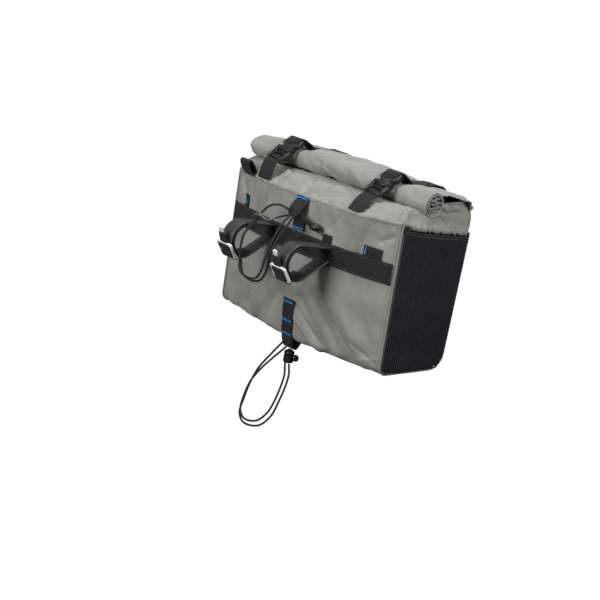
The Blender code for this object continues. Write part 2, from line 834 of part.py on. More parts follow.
def end_piping(name, sign):
    """A thin tube that rides on the rounded edge of the end panel."""
    ride = (PIPING_RADIUS + 1.2 * GAP) * math.sqrt(0.5) - 0.3 * CORNER_RADIUS
    outline = shell_outline(sign * 1.0, -ride)
    path = []
    for y, z in outline[SHOULDER_STEPS:-SHOULDER_STEPS]:
        path.append((sign * (HALF + ride - gusset_inset(z)), y, z))
    tube(f"end_piping_{name}", path, PIPING_RADIUS, CLOTH_GREY, 1)


def bar_webbing():
    """The wide band, laid on the back panel from edge to edge."""
    rows = []
    top = BAND_BOTTOM + BAND_HEIGHT
    for share in stations():
        heights = [blend(BAND_BOTTOM, top, k / 6) for k in range(7)]
        y = min(outline_y(share, z, "back") for z in heights) - SEAT
        x = share * HALF
        rows.append((Vector((x, y, BAND_BOTTOM)), Vector((x, y, top))))
    grid_sheet("bar_webbing", rows, WEBBING_BLACK, WEBBING, -1)


def webbing_tabs():
    base = BAND_BOTTOM + BAND_HEIGHT + GAP
    for row in TABS:
        tab = named(row, TAB_COLUMNS)
        lift = 1.6 * SEAT + tab["thickness"] / 2
        path = wall_strip(tab["across"], tab["width"], base, base + tab["height"], 2, lift)
        ribbon(tab["name"], path, tab["width"], tab["thickness"], WEBBING_BLACK)


def grab_tab():
    """A webbing loop folded on itself, sewn into the seam and pointing up and back."""
    x = -0.117
    width = 0.017
    base_z = seam_z(x / HALF) + 0.0015
    base_y = clear_wall(x, width, base_z) - 0.0012
    length = 0.0195
    lean = Vector((-0.20, -0.42, 0.88)).normalized()
    gap = Vector((0, -0.88, -0.42)).normalized() * 0.0016
    base = Vector((x, base_y, base_z))
    path = [base, base + lean * length * 0.5 - gap * 0.3, base + lean * length]
    path += [base + lean * (length + 0.0012) + gap * 0.7]
    path += [base + lean * length + gap * 1.5, base + lean * length * 0.5 + gap * 1.9, base + gap * 1.4]
    ribbon("grab_tab", path, width, 0.0011, WEBBING_BLACK)


def centre_webbing():
    """The daisy webbing up the middle of the back panel, above and below the bar."""
    lift = SEAT + WEBBING / 2
    path = []
    for share, bow in UPPER_SHAPE:
        z = blend(UPPER_TOP, UPPER_BOTTOM, share)
        path.append((0, clear_wall(0, CENTRE_WIDTH, z) - lift - bow * UPPER_BOW, z))
    ribbon("centre_webbing_upper", path, CENTRE_WIDTH, WEBBING, WEBBING_BLACK)
    width = CENTRE_WIDTH * 0.9
    path = wall_strip(0, width, LOWER_TOP, BOTTOM + 0.003, 10, lift)
    floor = bottom_z(0) - lift
    ahead = path[-1].y
    path.append((0, ahead + 0.003, floor - 0.3 * LOWER_HANG))
    path.append((0, ahead + 0.007, floor - LOWER_HANG))
    path.append((0, ahead + 0.012, floor - LOWER_HANG))
    path.append((0, ahead + 0.017, floor - 0.3 * LOWER_HANG))
    path.append((0, ahead + 0.024, floor))
    path.append((0, ahead + 0.040, floor))
    ribbon("centre_webbing_lower", path, width, WEBBING, WEBBING_BLACK)


def buckle_frame(x):
    """Where a closure's buckle lies on the roll: its lower end, with its axes as a matrix."""
    ahead, rise = roll_centre(x)
    outward_y, outward_z = -math.sin(BUCKLE_TILT), math.cos(BUCKLE_TILT)
    reach = 0.0
    for share in (-0.55, -0.3, 0.0, 0.3, 0.55):
        beside = x + BUCKLE_WIDTH * share
        y, z = roll_centre(beside)
        bulge = (y - ahead) * outward_y + (z - rise) * outward_z + roll_radius(beside)
        reach = max(reach, bulge + SEAT + BUCKLE_THICKNESS / 2)
    shift = BUCKLE_SHIFT - BUCKLE_LENGTH / 2
    y = ahead + outward_y * reach + shift * math.cos(BUCKLE_TILT)
    z = rise + outward_z * reach + shift * math.sin(BUCKLE_TILT)
    turn = Matrix.Rotation(BUCKLE_TILT, 4, "X")
    return Matrix.Translation((x, y, z)) @ turn


def place(made, frame, offset):
    """Puts a piece with its centre at an offset (across, along, out) in a buckle's frame."""
    made.matrix_world = frame @ Matrix.Translation(offset)


def closure(name, sign):
    x = sign * CLOSURE_SPREAD
    frame = buckle_frame(x)
    lower = [frame @ Vector((0, run, 0)) for run in (-0.0035, -GAP)]
    foot_z = seam_z(x / HALF) + 0.001
    foot_y = clear_wall(x, CLOSURE_WIDTH, foot_z) - SEAT - WEBBING / 2
    foot = Vector((x, foot_y - 0.0005, foot_z))
    path = [foot, foot.lerp(lower[0], 0.5) + Vector((0, -0.0012, 0.001)), *lower]
    ribbon(f"closure_webbing_{name}", path, CLOSURE_WIDTH, WEBBING, WEBBING_BLACK)
    buckle_plug(name, frame)
    buckle_socket(name, frame)
    closure_strap(name, x, frame)


def buckle_plug(name, frame):
    plug = box(f"buckle_plug_{name}", (BUCKLE_WIDTH, PLUG_LENGTH, BUCKLE_THICKNESS), PLASTIC_BLACK)
    place(plug, frame, (0, PLUG_LENGTH / 2, 0))
    slot = box(f"plug_slot_{name}", (BUCKLE_WIDTH - 0.006, 0.0055, 2 * BUCKLE_THICKNESS))
    place(slot, frame, (0, 0.0058, 0))
    boolean(plug, slot)
    for side in (-1, 1):
        arm = box(f"plug_arm_{name}_{side}", (ARM_WIDTH, ARM_LENGTH + 0.004, BUCKLE_THICKNESS * 0.75))
        x = side * (BUCKLE_WIDTH / 2 - ARM_WIDTH / 2 - 0.0002)
        place(arm, frame, (x, PLUG_LENGTH + ARM_LENGTH / 2 - 0.002, 0))
        boolean(plug, arm, "UNION")
    soften(plug, BUCKLE_EDGE)


def buckle_socket(name, frame):
    start = PLUG_LENGTH + GAP
    length = BUCKLE_LENGTH - start
    socket = box(f"buckle_socket_{name}", (BUCKLE_WIDTH, length, BUCKLE_THICKNESS), PLASTIC_BLACK)
    place(socket, frame, (0, start + length / 2, 0))
    for side in (-1, 1):
        room = (2 * (ARM_WIDTH + 0.0008), 2 * (ARM_LENGTH + 0.001), 0.02)
        notch = box(f"socket_notch_{name}_{side}", room)
        place(notch, frame, (side * BUCKLE_WIDTH / 2, start, 0))
        boolean(socket, notch)
    window = box(f"socket_window_{name}", (BUCKLE_WIDTH - 0.008, WINDOW_LENGTH, 2 * BUCKLE_THICKNESS))
    place(window, frame, (0, BUCKLE_LENGTH - 0.0072, 0))
    boolean(socket, window)
    soften(socket, BUCKLE_EDGE)


def closure_strap(name, x, frame):
    """From the socket over the flap, round the lip and down the front panel."""
    start = [frame @ Vector((0, BUCKLE_LENGTH + GAP + run, 0.0005)) for run in (0.0, 0.003)]
    places = [x + CLOSURE_WIDTH * (k / 8 - 0.5) for k in range(9)]
    paths = [roll_path(place) for place in places]
    lift = ROLL_CLOTH / 2 + 2 * SEAT + WEBBING / 2
    path = start
    spiral = round(ROLL_TURNS * SPIRAL_STEPS)
    for k in range(spiral + 2, len(paths[0])):
        y = max(p[k][0] for p in paths)
        z = max(p[k][1] for p in paths)
        on_lip = k - (len(paths[0]) - 3)
        out = (0.0, 0.5, 1.0)[on_lip] if on_lip >= 0 else 0.0
        path.append(Vector((x, y + out * lift, z + (1 - out) * lift)))
    below = FRONT_RISE - FLAP_LIP - 0.012
    path += wall_strip(x, CLOSURE_WIDTH, below, CLOSURE_END, 6, SEAT + WEBBING / 2, "front")
    ribbon(f"closure_strap_{name}", path, CLOSURE_WIDTH, WEBBING, WEBBING_BLACK)


def tangent_angle(y, z, radius, sign):
    """The angle of the point where a line from (y, z) touches a circle about the bar's centre."""
    return math.atan2(z, y) + sign * math.acos(radius / math.hypot(y, z))


def arc(x, radius, first, last, steps):
    angles = [blend(first, last, k / steps) for k in range(steps + 1)]
    return [(x, radius * math.cos(a), radius * math.sin(a)) for a in angles]


def bar_strap(name, sign):
    x = sign * STRAP_SPREAD
    band = min(clear_wall(x, STRAP_WIDTH, BAND_BOTTOM + BAND_HEIGHT * k / 6) for k in range(7))
    seat = band - SEAT - WEBBING - SEAT
    first = tangent_angle(seat, STRAP_TOP_RISE, STRAP_RADIUS, 1)
    last = 2 * math.pi + tangent_angle(seat, STRAP_FOOT_RISE, STRAP_RADIUS, -1)
    path = [(x, seat, STRAP_TOP_RISE), *arc(x, STRAP_RADIUS, first, last, 16), (x, seat, STRAP_FOOT_RISE)]
    ribbon(f"bar_strap_{name}", path, STRAP_WIDTH, STRAP_THICKNESS, RUBBER_GREY)
    pad_radius = BAR_RADIUS + BAR_SLACK + PAD_THICKNESS / 2
    pad = arc(x, pad_radius, math.radians(55), math.radians(305), 16)
    ribbon(f"bar_pad_{name}", pad, STRAP_WIDTH + 0.002, PAD_THICKNESS, WEBBING_BLACK)
    strap_buckle(name, x)


def strap_buckle(name, x):
    """The pale frame on the strap's rear, with the strap's tail and tip below it."""
    out = Matrix.Rotation(FRAME_ANGLE - math.pi / 2, 4, "X")
    outer = STRAP_RADIUS + STRAP_THICKNESS / 2 + GAP
    seat = math.sqrt(outer ** 2 - (FRAME_LENGTH / 2 - FRAME_SIDE) ** 2)
    reach = seat + FRAME_THICKNESS / 2
    frame = Matrix.Translation((x, 0, 0)) @ out @ Matrix.Translation((0, 0, reach))
    made = box(f"bar_strap_buckle_{name}", (FRAME_WIDTH, FRAME_LENGTH, FRAME_THICKNESS), PALE_GREY)
    made.matrix_world = frame
    window = box(
        f"frame_window_{name}",
        (FRAME_WIDTH - 2 * FRAME_SIDE, FRAME_LENGTH - 2 * FRAME_SIDE, 2 * FRAME_THICKNESS),
    )
    window.matrix_world = frame
    boolean(made, window)
    soften(made, 0.0007)
    start = frame @ Vector((0, FRAME_LENGTH / 2 + GAP, 0))
    down = (frame.to_3x3() @ Vector((0, 1, -0.15))).normalized()
    down = (down + Vector((0, 0.25, -0.45))).normalized()
    end = start + down * TAIL_LENGTH
    tail = [start, start.lerp(end, 0.5), end]
    ribbon(f"bar_strap_tail_{name}", tail, TAIL_WIDTH, STRAP_THICKNESS, RUBBER_GREY)
    first = end + down * GAP
    last = first + down * TIP_LENGTH
    ribbon(f"bar_strap_tip_{name}", [first, last], TIP_WIDTH, TIP_THICKNESS, PALE_GREY)


def ball(name, radii, place_at, look, segments=14, rings=9):
    mesh = bpy.data.meshes.new(name)
    shape = bmesh.new()
    bmesh.ops.create_uvsphere(shape, u_segments=segments, v_segments=rings, radius=1.0)
    bmesh.ops.scale(shape, vec=radii, verts=shape.verts)
    shape.to_mesh(mesh)
    shape.free()
    mesh.materials.append(look)
    mesh.shade_smooth()
    made = bpy.data.objects.new(name, mesh)
    made.location = place_at
    BAG.objects.link(made)
    return made


def stem_cords():
    step = 3 * CORD
    tube("stem_cord_rear", smooth_route(STEM_CORD_REAR, step), CORD / 2, CORD_BLACK)
    tube("stem_cord_front", smooth_route(STEM_CORD_FRONT, step), CORD / 2, CORD_BLACK)
    tube("hook_cord", smooth_route(HOOK_CORD, step), CORD / 2, CORD_BLACK)
    tube("hook_strand", smooth_route(HOOK_STRAND, step), CORD / 2, CORD_BLACK)
    tube("bungee_hook", smooth_route(HOOK_LINE, step), HOOK_WIRE / 2, PALE_GREY)
    strip = smooth_route(PULL_STRIP, step)
    ribbon("pull_strip", strip, PULL_WIDTH, PULL_THICKNESS, WEBBING_BLACK, (0.3, 0, 1))
    ball("bungee_knob", (KNOB_LENGTH / 2, KNOB_THICKNESS / 2, KNOB_HEIGHT / 2), KNOB_PLACE, PLASTIC_BLACK)


def head_cords():
    step = 3 * CORD
    tube("head_cord_outer", smooth_route(HEAD_CORD_OUTER, step), CORD / 2, CORD_BLACK)
    tube("head_cord_inner", smooth_route(HEAD_CORD_INNER, step), CORD / 2, CORD_BLACK)
    profile = (
        (0.0, 0.5), (0.62, 0.5), (0.85, 0.42), (1.0, 0.30), (0.94, 0.12), (0.94, -0.20), (1.0, -0.34),
        (0.82, -0.46), (0.55, -0.5), (0.0, -0.5),
    )
    mesh = bpy.data.meshes.new("cord_lock")
    points = [(LOCK_RADIUS * r, 0, LOCK_LENGTH * h) for r, h in profile]
    mesh.from_pydata(points, [(k, k + 1) for k in range(len(points) - 1)], [])
    mesh.materials.append(PLASTIC_BLACK)
    lock = bpy.data.objects.new("cord_lock", mesh)
    lock.location = LOCK_PLACE
    BAG.objects.link(lock)
    turned = lock.modifiers.new("turn", "SCREW")
    turned.steps = turned.render_steps = 14
    turned.use_merge_vertices = True
    turned.merge_threshold = 0.00001
    turned.use_normal_calculate = True
    ball("cord_end_ball", (BALL_RADIUS, BALL_RADIUS, BALL_RADIUS), BALL_PLACE, PLASTIC_BLACK)


bag_shell()
roll_top()
roll_stiffener()
for side_name, side_sign in (("left", -1), ("right", 1)):
    end_pockets(side_name, side_sign)
    end_piping(side_name, side_sign)
    closure(side_name, side_sign)
    bar_strap(side_name, side_sign)
bar_webbing()
webbing_tabs()
grab_tab()
centre_webbing()
stem_cords()
head_cords()
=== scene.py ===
"""The looks of the roll-top handlebar bag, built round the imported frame. Metres, +Z up.

+X is the rider's right, +Y points ahead of the rider, and the origin is the handlebar's centre.
"""

import math

import bmesh
import bpy
import numpy as np
from mathutils import Matrix, Vector, noise


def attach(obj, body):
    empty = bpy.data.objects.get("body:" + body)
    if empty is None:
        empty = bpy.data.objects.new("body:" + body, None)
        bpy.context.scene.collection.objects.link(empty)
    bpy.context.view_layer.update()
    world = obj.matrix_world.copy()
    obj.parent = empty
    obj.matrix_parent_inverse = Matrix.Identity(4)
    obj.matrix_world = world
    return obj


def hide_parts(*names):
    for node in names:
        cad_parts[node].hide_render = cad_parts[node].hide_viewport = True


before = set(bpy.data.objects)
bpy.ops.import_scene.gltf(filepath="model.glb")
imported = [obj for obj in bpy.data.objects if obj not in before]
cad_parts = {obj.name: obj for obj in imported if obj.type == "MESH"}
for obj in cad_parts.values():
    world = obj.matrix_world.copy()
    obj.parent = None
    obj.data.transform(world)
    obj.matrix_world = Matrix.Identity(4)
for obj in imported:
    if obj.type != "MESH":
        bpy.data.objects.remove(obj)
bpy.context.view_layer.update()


def table(columns, rows):
    """A table's rows, each with its values under the columns' names."""
    return [dict(zip(columns, row)) for row in rows]


# The main bag, with the sizes of its solids
HALF = 0.147
BAG_DEPTH = 0.110
BAR_TO_BAG = 0.065
BOTTOM = -0.110
BOTTOM_SAG = 0.003
BACK_BULGE = 0.021
FRONT_BULGE = 0.010
END_BULGE = 0.003
FRONT_TAPER = 0.010
BOTTOM_RADIUS = 0.020
BACK_RADIUS = 0.011
CORNER_RADIUS = 0.003
SEAM_RISE = 0.068
SEAM_SAG = 0.004
SEAM_DIP = 0.0055
FRONT_RISE = 0.086
GUSSET_INSET = 0.010
GUSSET_RISE = 0.067
FOLD_DEPTH = 0.004
FOLD_WIDTH = 0.009
CLOTH = 0.0012
FRONT_Y = BAR_TO_BAG + BAG_DEPTH

# The rolled mouth
ROLL_RADIUS = 0.0125
ROLL_PITCH = 0.0013
ROLL_TURNS = 2.25
ROLL_PINCH = 0.0036
ROLL_PINCH_SPAN = 0.022
RIM_DROP = -0.0004
ROLL_LENGTH = 0.300
ROLL_RISE = 0.0895
FLAP_RISE = 0.0930
FLAP_CROWN = 0.0050
FLAP_LIP = 0.0060
FLAP_GAP = 0.0009  # between the flap and the front wall
FLAP_TRIM_FROM = 0.126  # from here out the flap is drawn back towards its ends
FLAP_TRIM_SPAN = 0.024
LEFT_DRAW = 0.0050  # how far the roll's left end is drawn in
ROLL_STITCH_PLACES = (0.1265, 0.1305, -0.1265, -0.1305)
STIFFENER_WIDTH = 0.0058
STIFFENER_THICKNESS = 0.0012
STIFFENER_LEAN = math.radians(-50)

# Webbing, closures and bar straps
WEBBING = 0.0014
REST = 0.0008  # the gap between the cloth's face and a sewn strip
SEWN_FACE = REST + WEBBING
BAND_HEIGHT = 0.025
BAND_BOTTOM = -0.004
CENTRE_WIDTH = 0.021
UPPER_TOP = 0.0625
UPPER_BOTTOM = 0.0225
UPPER_BOW = 0.0095
LOWER_TOP = -0.062
LOWER_HANG = 0.009
CLOSURE_SPREAD = 0.082
CLOSURE_WIDTH = 0.025
CLOSURE_END = 0.010
BUCKLE_LENGTH = 0.041
BUCKLE_WIDTH = 0.0285
BUCKLE_THICKNESS = 0.0066
BUCKLE_TILT = math.radians(33)
BUCKLE_SHIFT = -0.0075
BAR_RADIUS = 0.0159
PAD_THICKNESS = 0.0030
STRAP_THICKNESS = 0.0024
STRAP_WIDTH = 0.020
STRAP_SPREAD = 0.050
STRAP_TOP_RISE = 0.016
STRAP_FOOT_RISE = 0.001
STRAP_RADIUS = BAR_RADIUS + 0.0004 + PAD_THICKNESS + 0.0003 + STRAP_THICKNESS / 2
FRAME_WIDTH = 0.0270
FRAME_LENGTH = 0.021
FRAME_THICKNESS = 0.0032
FRAME_SIDE = 0.0030
FRAME_ANGLE = math.radians(214)
TAIL_WIDTH = 0.012
TAIL_LENGTH = 0.013
TIP_WIDTH = 0.0065
TIP_LENGTH = 0.0075
TIP_THICKNESS = 0.0022
GRAB_PLACE = -0.1135
GRAB_WIDTH = 0.018
GRAB_LENGTH = 0.0175
GRAB_THICKNESS = 0.0011
GRAB_GAP = 0.0034

# Pockets and piping
POCKET_INSET = 0.0016
POCKET_RISE_BACK = 0.066
POCKET_RISE_FRONT = 0.055
BINDING_HEIGHT = 0.010
BINDING_THICKNESS = 0.0016
# the thickness of the near-black sheet of painted shade under each net
SHADE_SHEET_THICKNESS = 0.0006
PIPING_RADIUS = 0.0011
NET_PITCH = 0.0033
NET_ROW = 0.00205
NET_RIB = 0.0014
NET_STRAND = 0.0006
NET_THICKNESS = 0.00045
RIB_LIFT = 0.0014
STRAND_LIFT = 0.0011
HEM_RADIUS = 0.0010

# Cords and their hardware
CORD = 0.0026
TWIST = 0.006  # the length of one turn of the twisted pair
HOOK_WIRE = 0.0030
TAPE_WIDTH = 0.0055
TAPE_THICKNESS = 0.0012
LOCK_RADIUS = 0.0065
LOCK_LENGTH = 0.017
LOCK_PLACE = Vector((0.000, 0.0590, -0.1350))
BALL_PLACE = Vector((0.0110, 0.0600, -0.1345))
BALL_RADIUS = 0.0042
KNOB_PLACE = Vector((0.0340, 0.0372, 0.0350))
KNOB_SIZE = (0.0165, 0.0105, 0.0092)

# Thread
STITCH = 0.0022
STITCH_GAP = 0.0011
THREAD = 0.00028
TACK_THREAD = 0.00036
TACK_PITCH = 0.00055

# The shoulder, from end to end: shares of the bag's depth ahead and of the rise from seam to roll
SHOULDER = table(("across", "crest_ahead", "crest_rise"), (
    (-1.00, 0.07, 0.75),
    (-0.60, 0.12, 0.80),
    (0.00, 0.24, 0.80),
    (0.40, 0.20, 0.85),
    (0.80, 0.10, 1.05),
    (1.00, 0.04, 1.25),
))

# The roll's middle: share of the bag's depth ahead, and shares of its radius for the rest
ROLL_LINE = table(("across", "ahead", "rise", "radius"), (
    (-1.00, 0.22, 0.10, 1.06),
    (-0.75, 0.24, 0.20, 1.16),
    (-0.27, 0.27, 0.28, 1.02),
    (0.00, 0.30, 0.25, 0.96),
    (0.27, 0.32, 0.22, 0.98),
    (0.80, 0.36, 0.08, 1.02),
    (1.00, 0.38, 0.02, 1.13),
))

# The main folds, which the solids have too, then the fine creases of the look
FOLD_COLUMNS = ("side", "across", "up", "across_end", "up_end", "depth", "width")
FOLDS = table(FOLD_COLUMNS, (
    ("back", -0.92, 0.98, -0.80, 0.72, -0.70, 0.60),
    ("back", -0.72, 1.00, -0.62, 0.70, -0.45, 0.80),
    ("back", 0.67, 1.00, 0.58, 0.78, 0.70, 1.00),
    ("back", 0.74, 0.97, 0.66, 0.76, -0.60, 0.70),
    ("back", 0.12, 0.30, 0.46, 0.02, -0.90, 1.00),
    ("back", 0.26, 0.36, 0.66, 0.03, -0.80, 1.10),
    ("back", 0.42, 0.42, 0.76, 0.16, 0.60, 1.30),
    ("back", -0.14, 0.30, -0.44, 0.02, -0.70, 1.10),
    ("back", -0.30, 0.40, -0.74, 0.04, -0.60, 1.20),
    ("back", 0.05, 1.08, 0.20, 1.80, 0.80, 0.80),
    ("back", 0.10, 1.10, 0.34, 1.60, -0.80, 0.80),
    ("back", 0.30, 1.05, 0.58, 1.25, -0.60, 0.90),
    ("back", -0.42, 1.10, -0.52, 1.70, -0.60, 0.80),
    ("back", -0.20, 1.20, -0.44, 1.60, 0.50, 1.00),
    ("back", 0.86, 1.20, 0.96, 1.60, -0.50, 0.80),
    ("front", -0.60, 0.85, -0.30, 0.30, -0.60, 1.40),
    ("front", 0.60, 0.85, 0.34, 0.30, -0.60, 1.40),
    ("front", -0.10, 0.80, 0.06, 0.20, 0.50, 2.00),
    ("front", 0.85, 0.40, 0.55, 0.05, -0.70, 1.20),
    ("front", -0.85, 0.40, -0.55, 0.05, -0.70, 1.20),
))
CREASES = table(FOLD_COLUMNS, (
    ("back", -0.98, 0.97, -0.76, 0.78, -0.42, 0.24),
    ("back", -0.74, 0.98, -0.72, 0.80, -0.38, 0.24),
    ("back", -0.86, 0.96, -0.90, 0.82, 0.28, 0.30),
    ("back", -0.62, 0.98, -0.60, 0.84, -0.24, 0.26),
    ("back", -0.46, 0.98, -0.44, 0.78, 0.26, 0.34),
    ("back", -0.22, 0.98, -0.20, 0.82, -0.20, 0.30),
    ("back", 0.48, 0.99, 0.34, 0.85, -0.40, 0.22),
    ("back", 0.63, 0.99, 0.60, 0.76, 0.45, 0.34),
    ("back", 0.98, 0.92, 0.84, 0.86, -0.45, 0.30),
    ("back", 0.60, 0.72, 0.70, 0.76, -0.45, 0.40),
    ("back", 0.24, 0.98, 0.18, 0.84, -0.22, 0.28),
    ("back", 0.06, 0.26, 0.44, 0.01, -0.55, 0.26),
    ("back", 0.02, 0.20, 0.36, 0.00, 0.40, 0.26),
    ("back", 0.36, 0.38, 0.68, 0.10, -0.50, 0.34),
    ("back", 0.46, 0.20, 0.60, 0.01, -0.40, 0.24),
    ("back", 0.70, 0.16, 0.97, 0.06, -0.36, 0.24),
    ("back", 0.80, 0.06, 0.98, 0.10, 0.30, 0.24),
    ("back", -0.22, 0.24, -0.34, 0.01, -0.28, 0.28),
    ("back", -0.56, 0.22, -0.66, 0.01, -0.28, 0.28),
    ("back", -0.80, 0.26, -0.92, 0.02, -0.26, 0.30),
    ("back", -0.03, 1.02, -0.15, 1.80, -0.62, 0.22),
    ("back", -0.08, 1.04, -0.24, 1.70, 0.40, 0.30),
    ("back", -0.45, 1.74, 0.50, 1.74, -1.50, 0.80),
    ("back", 0.03, 1.06, 0.40, 1.62, -0.52, 0.22),
    ("back", 0.08, 1.04, 0.50, 1.34, 0.46, 0.22),
    ("back", 0.02, 1.24, 0.30, 1.80, 0.40, 0.22),
    ("back", 0.14, 1.02, 0.52, 1.14, -0.40, 0.20),
    ("back", 0.28, 1.10, 0.46, 1.16, 0.60, 0.26),
    ("back", -0.46, 1.06, -0.43, 1.55, 0.62, 0.24),
    ("back", -0.40, 1.20, -0.38, 1.70, -0.70, 0.30),
    ("back", -0.30, 1.10, -0.22, 1.50, -0.30, 0.24),
    ("back", -0.68, 1.04, -0.74, 1.60, -0.30, 0.28),
    ("back", 0.68, 1.04, 0.74, 1.60, -0.34, 0.28),
    ("back", 0.86, 1.04, 0.92, 1.50, 0.34, 0.26),
))

# The roll's creases, in metres: x across and y down its back from the top. A depth above zero pushes out.
ROLL_CREASES = table(("x", "y", "x_end", "y_end", "depth", "width"), (
    (-0.146, 0.016, -0.112, 0.034, -0.0026, 0.0050),
    (-0.140, 0.006, -0.104, 0.012, 0.0014, 0.0060),
    (-0.052, 0.020, -0.020, 0.034, -0.0026, 0.0032),
    (-0.036, 0.010, -0.006, 0.022, 0.0016, 0.0040),
    (-0.020, 0.018, 0.014, 0.032, -0.0022, 0.0030),
    (0.020, 0.008, 0.052, 0.026, -0.0016, 0.0034),
    (-0.062, 0.004, -0.030, 0.010, -0.0016, 0.0030),
    (0.100, 0.026, 0.140, 0.020, -0.0016, 0.0050),
    (0.098, 0.004, 0.128, 0.010, 0.0012, 0.0050),
    (-0.030, -0.012, 0.040, -0.030, -0.0020, 0.0050),
    (-0.070, -0.020, -0.020, -0.014, -0.0018, 0.0050),
    (0.040, -0.010, 0.070, -0.040, 0.0018, 0.0050),
))

# The leaves of cloth folded inside the roll: share of its inner radius ahead and up
CORE_FOLDS = (
    (-0.30, 0.82), (0.62, 0.66), (-0.80, 0.42), (0.88, 0.20), (-0.80, 0.06), (0.84, -0.28), (-0.60, -0.42),
    (0.44, -0.76), (-0.50, -0.74), (-0.90, -0.20),
)

# The small sewn tabs above the band, in metres
TABS = table(("name", "across", "width", "height", "thickness"), (
    ("webbing_tab_outer_left", -0.115, 0.0105, 0.0150, 0.0016),
    ("webbing_tab_inner_right", 0.050, 0.0135, 0.0090, 0.0024),
    ("webbing_tab_outer_right", 0.116, 0.0260, 0.0120, 0.0024),
))

# The cords' routes, as in the part's source
STEM_CORD_REAR = (
    (0.0045, 0.0321, 0.0445),
    (0.0048, 0.0250, 0.0430),
    (0.0100, 0.0080, 0.0330),
    (0.0170, -0.0060, 0.0220),
    (0.0215, -0.0170, 0.0080),
    (0.0225, -0.0215, -0.0060),
    (0.0210, -0.0235, -0.0200),
    (0.0140, -0.0245, -0.0290),
    (0.0000, -0.0250, -0.0315),
    (-0.0140, -0.0240, -0.0285),
    (-0.0215, -0.0210, -0.0190),
    (-0.0240, -0.0200, -0.0040),
    (-0.0270, -0.0150, 0.0120),
    (-0.0330, -0.0010, 0.0235),
    (-0.0398, 0.0135, 0.0287),
)
STEM_CORD_FRONT = (
    (0.0085, 0.0321, 0.0445),
    (0.0105, 0.0230, 0.0415),
    (0.0160, 0.0080, 0.0290),
    (0.0215, -0.0050, 0.0200),
    (0.0258, -0.0160, 0.0070),
    (0.0250, -0.0175, -0.0080),
    (0.0235, -0.0185, -0.0215),
    (0.0155, -0.0195, -0.0320),
    (0.0000, -0.0200, -0.0350),
    (-0.0155, -0.0190, -0.0315),
    (-0.0240, -0.0160, -0.0210),
    (-0.0270, -0.0175, -0.0050),
    (-0.0305, -0.0130, 0.0105),
    (-0.0350, 0.0010, 0.0195),
    (-0.0420, 0.0160, 0.0262),
)
HOOK_CORD = (
    (-0.0040, 0.0318, 0.0450),
    (-0.0048, 0.0285, 0.0462),
    (-0.0090, 0.0265, 0.0474),
    (-0.0170, 0.0260, 0.0480),
    (-0.0250, 0.0230, 0.0470),
    (-0.0320, 0.0200, 0.0430),
    (-0.0365, 0.0175, 0.0370),
    (-0.0380, 0.0150, 0.0335),
)
HOOK_STRAND = (
    (-0.0020, 0.0325, 0.0404),
    (-0.0055, 0.0275, 0.0388),
    (-0.0105, 0.0220, 0.0362),
    (-0.0149, 0.0175, 0.0330),
)
PULL_STRIP = (
    (0.0116, 0.0332, 0.0436),
    (0.0160, 0.0332, 0.0420),
    (0.0215, 0.0336, 0.0388),
    (0.0277, 0.0349, 0.0363),
)
HOOK_LINE = (
    (-0.0155, 0.0170, 0.0325),
    (-0.0185, 0.0146, 0.0303),
    (-0.0240, 0.0130, 0.0290),
    (-0.0320, 0.0120, 0.0310),
    (-0.0380, 0.0105, 0.0315),
    (-0.0430, 0.0105, 0.0300),
    (-0.0450, 0.0115, 0.0260),
)
HEAD_CORD_OUTER = (
    (-0.0040, 0.0530, -0.1155),
    (-0.0080, 0.0500, -0.1220),
    (-0.0160, 0.0430, -0.1380),
    (-0.0240, 0.0350, -0.1560),
    (-0.0275, 0.0280, -0.1760),
    (-0.0265, 0.0210, -0.1950),
    (-0.0190, 0.0110, -0.2090),
    (0.0000, 0.0045, -0.2150),
    (0.0185, 0.0110, -0.2120),
    (0.0255, 0.0220, -0.1990),
    (0.0270, 0.0300, -0.1800),
    (0.0240, 0.0390, -0.1640),
    (0.0160, 0.0490, -0.1540),
    (0.0075, 0.0555, -0.1480),
    (0.0035, 0.0578, -0.1446),
)
HEAD_CORD_INNER = (
    (0.0040, 0.0530, -0.1155),
    (0.0020, 0.0490, -0.1230),
    (-0.0080, 0.0405, -0.1390),
    (-0.0180, 0.0325, -0.1560),
    (-0.0235, 0.0250, -0.1720),
    (-0.0230, 0.0175, -0.1890),
    (-0.0165, 0.0095, -0.2035),
    (0.0000, 0.0040, -0.2095),
    (0.0160, 0.0095, -0.2065),
    (0.0225, 0.0195, -0.1940),
    (0.0230, 0.0280, -0.1770),
    (0.0190, 0.0370, -0.1630),
    (0.0110, 0.0465, -0.1545),
    (0.0010, 0.0545, -0.1490),
    (-0.0035, 0.0578, -0.1446),
)

# The camera that matches the photo, and the white card behind the bag
CAMERA_PLACE = Vector((1.361, -1.179, 0.432))
CAMERA_RIGHT = Vector((0.6362, 0.7569, 0.1492))
CAMERA_UP = Vector((-0.2942, 0.0593, 0.9539))
CAMERA_LENS = 96
CAMERA_SENSOR = 36
CARD_AWAY = 4.3
CARD_HALF = 1.05
CARD_GLOW = 1.05

# How finely the look is meshed
ACROSS_STEPS = 156
SHOULDER_STEPS = 18
WALL_STEPS = 82
CORNER_STEPS = 8
BOTTOM_STEPS = 24
SPIRAL_STEPS = 36
FLAP_STEPS = 30
ROLL_STEPS = 170
WELD = 0.00001  # points nearer than this are joined

# How many points of the rolled cloth lie before its flap
FLAP_START = 4 * (len(CORE_FOLDS) - 1) + round(ROLL_TURNS * SPIRAL_STEPS)


def clamp(value, low=0.0, high=1.0):
    return max(low, min(high, value))


def smooth(value):
    value = clamp(value)
    return value * value * (3 - 2 * value)


def blend(a, b, t):
    return a + (b - a) * t


def bell(value):
    """One at zero, falling away on both sides."""
    return math.exp(-(value ** 2))


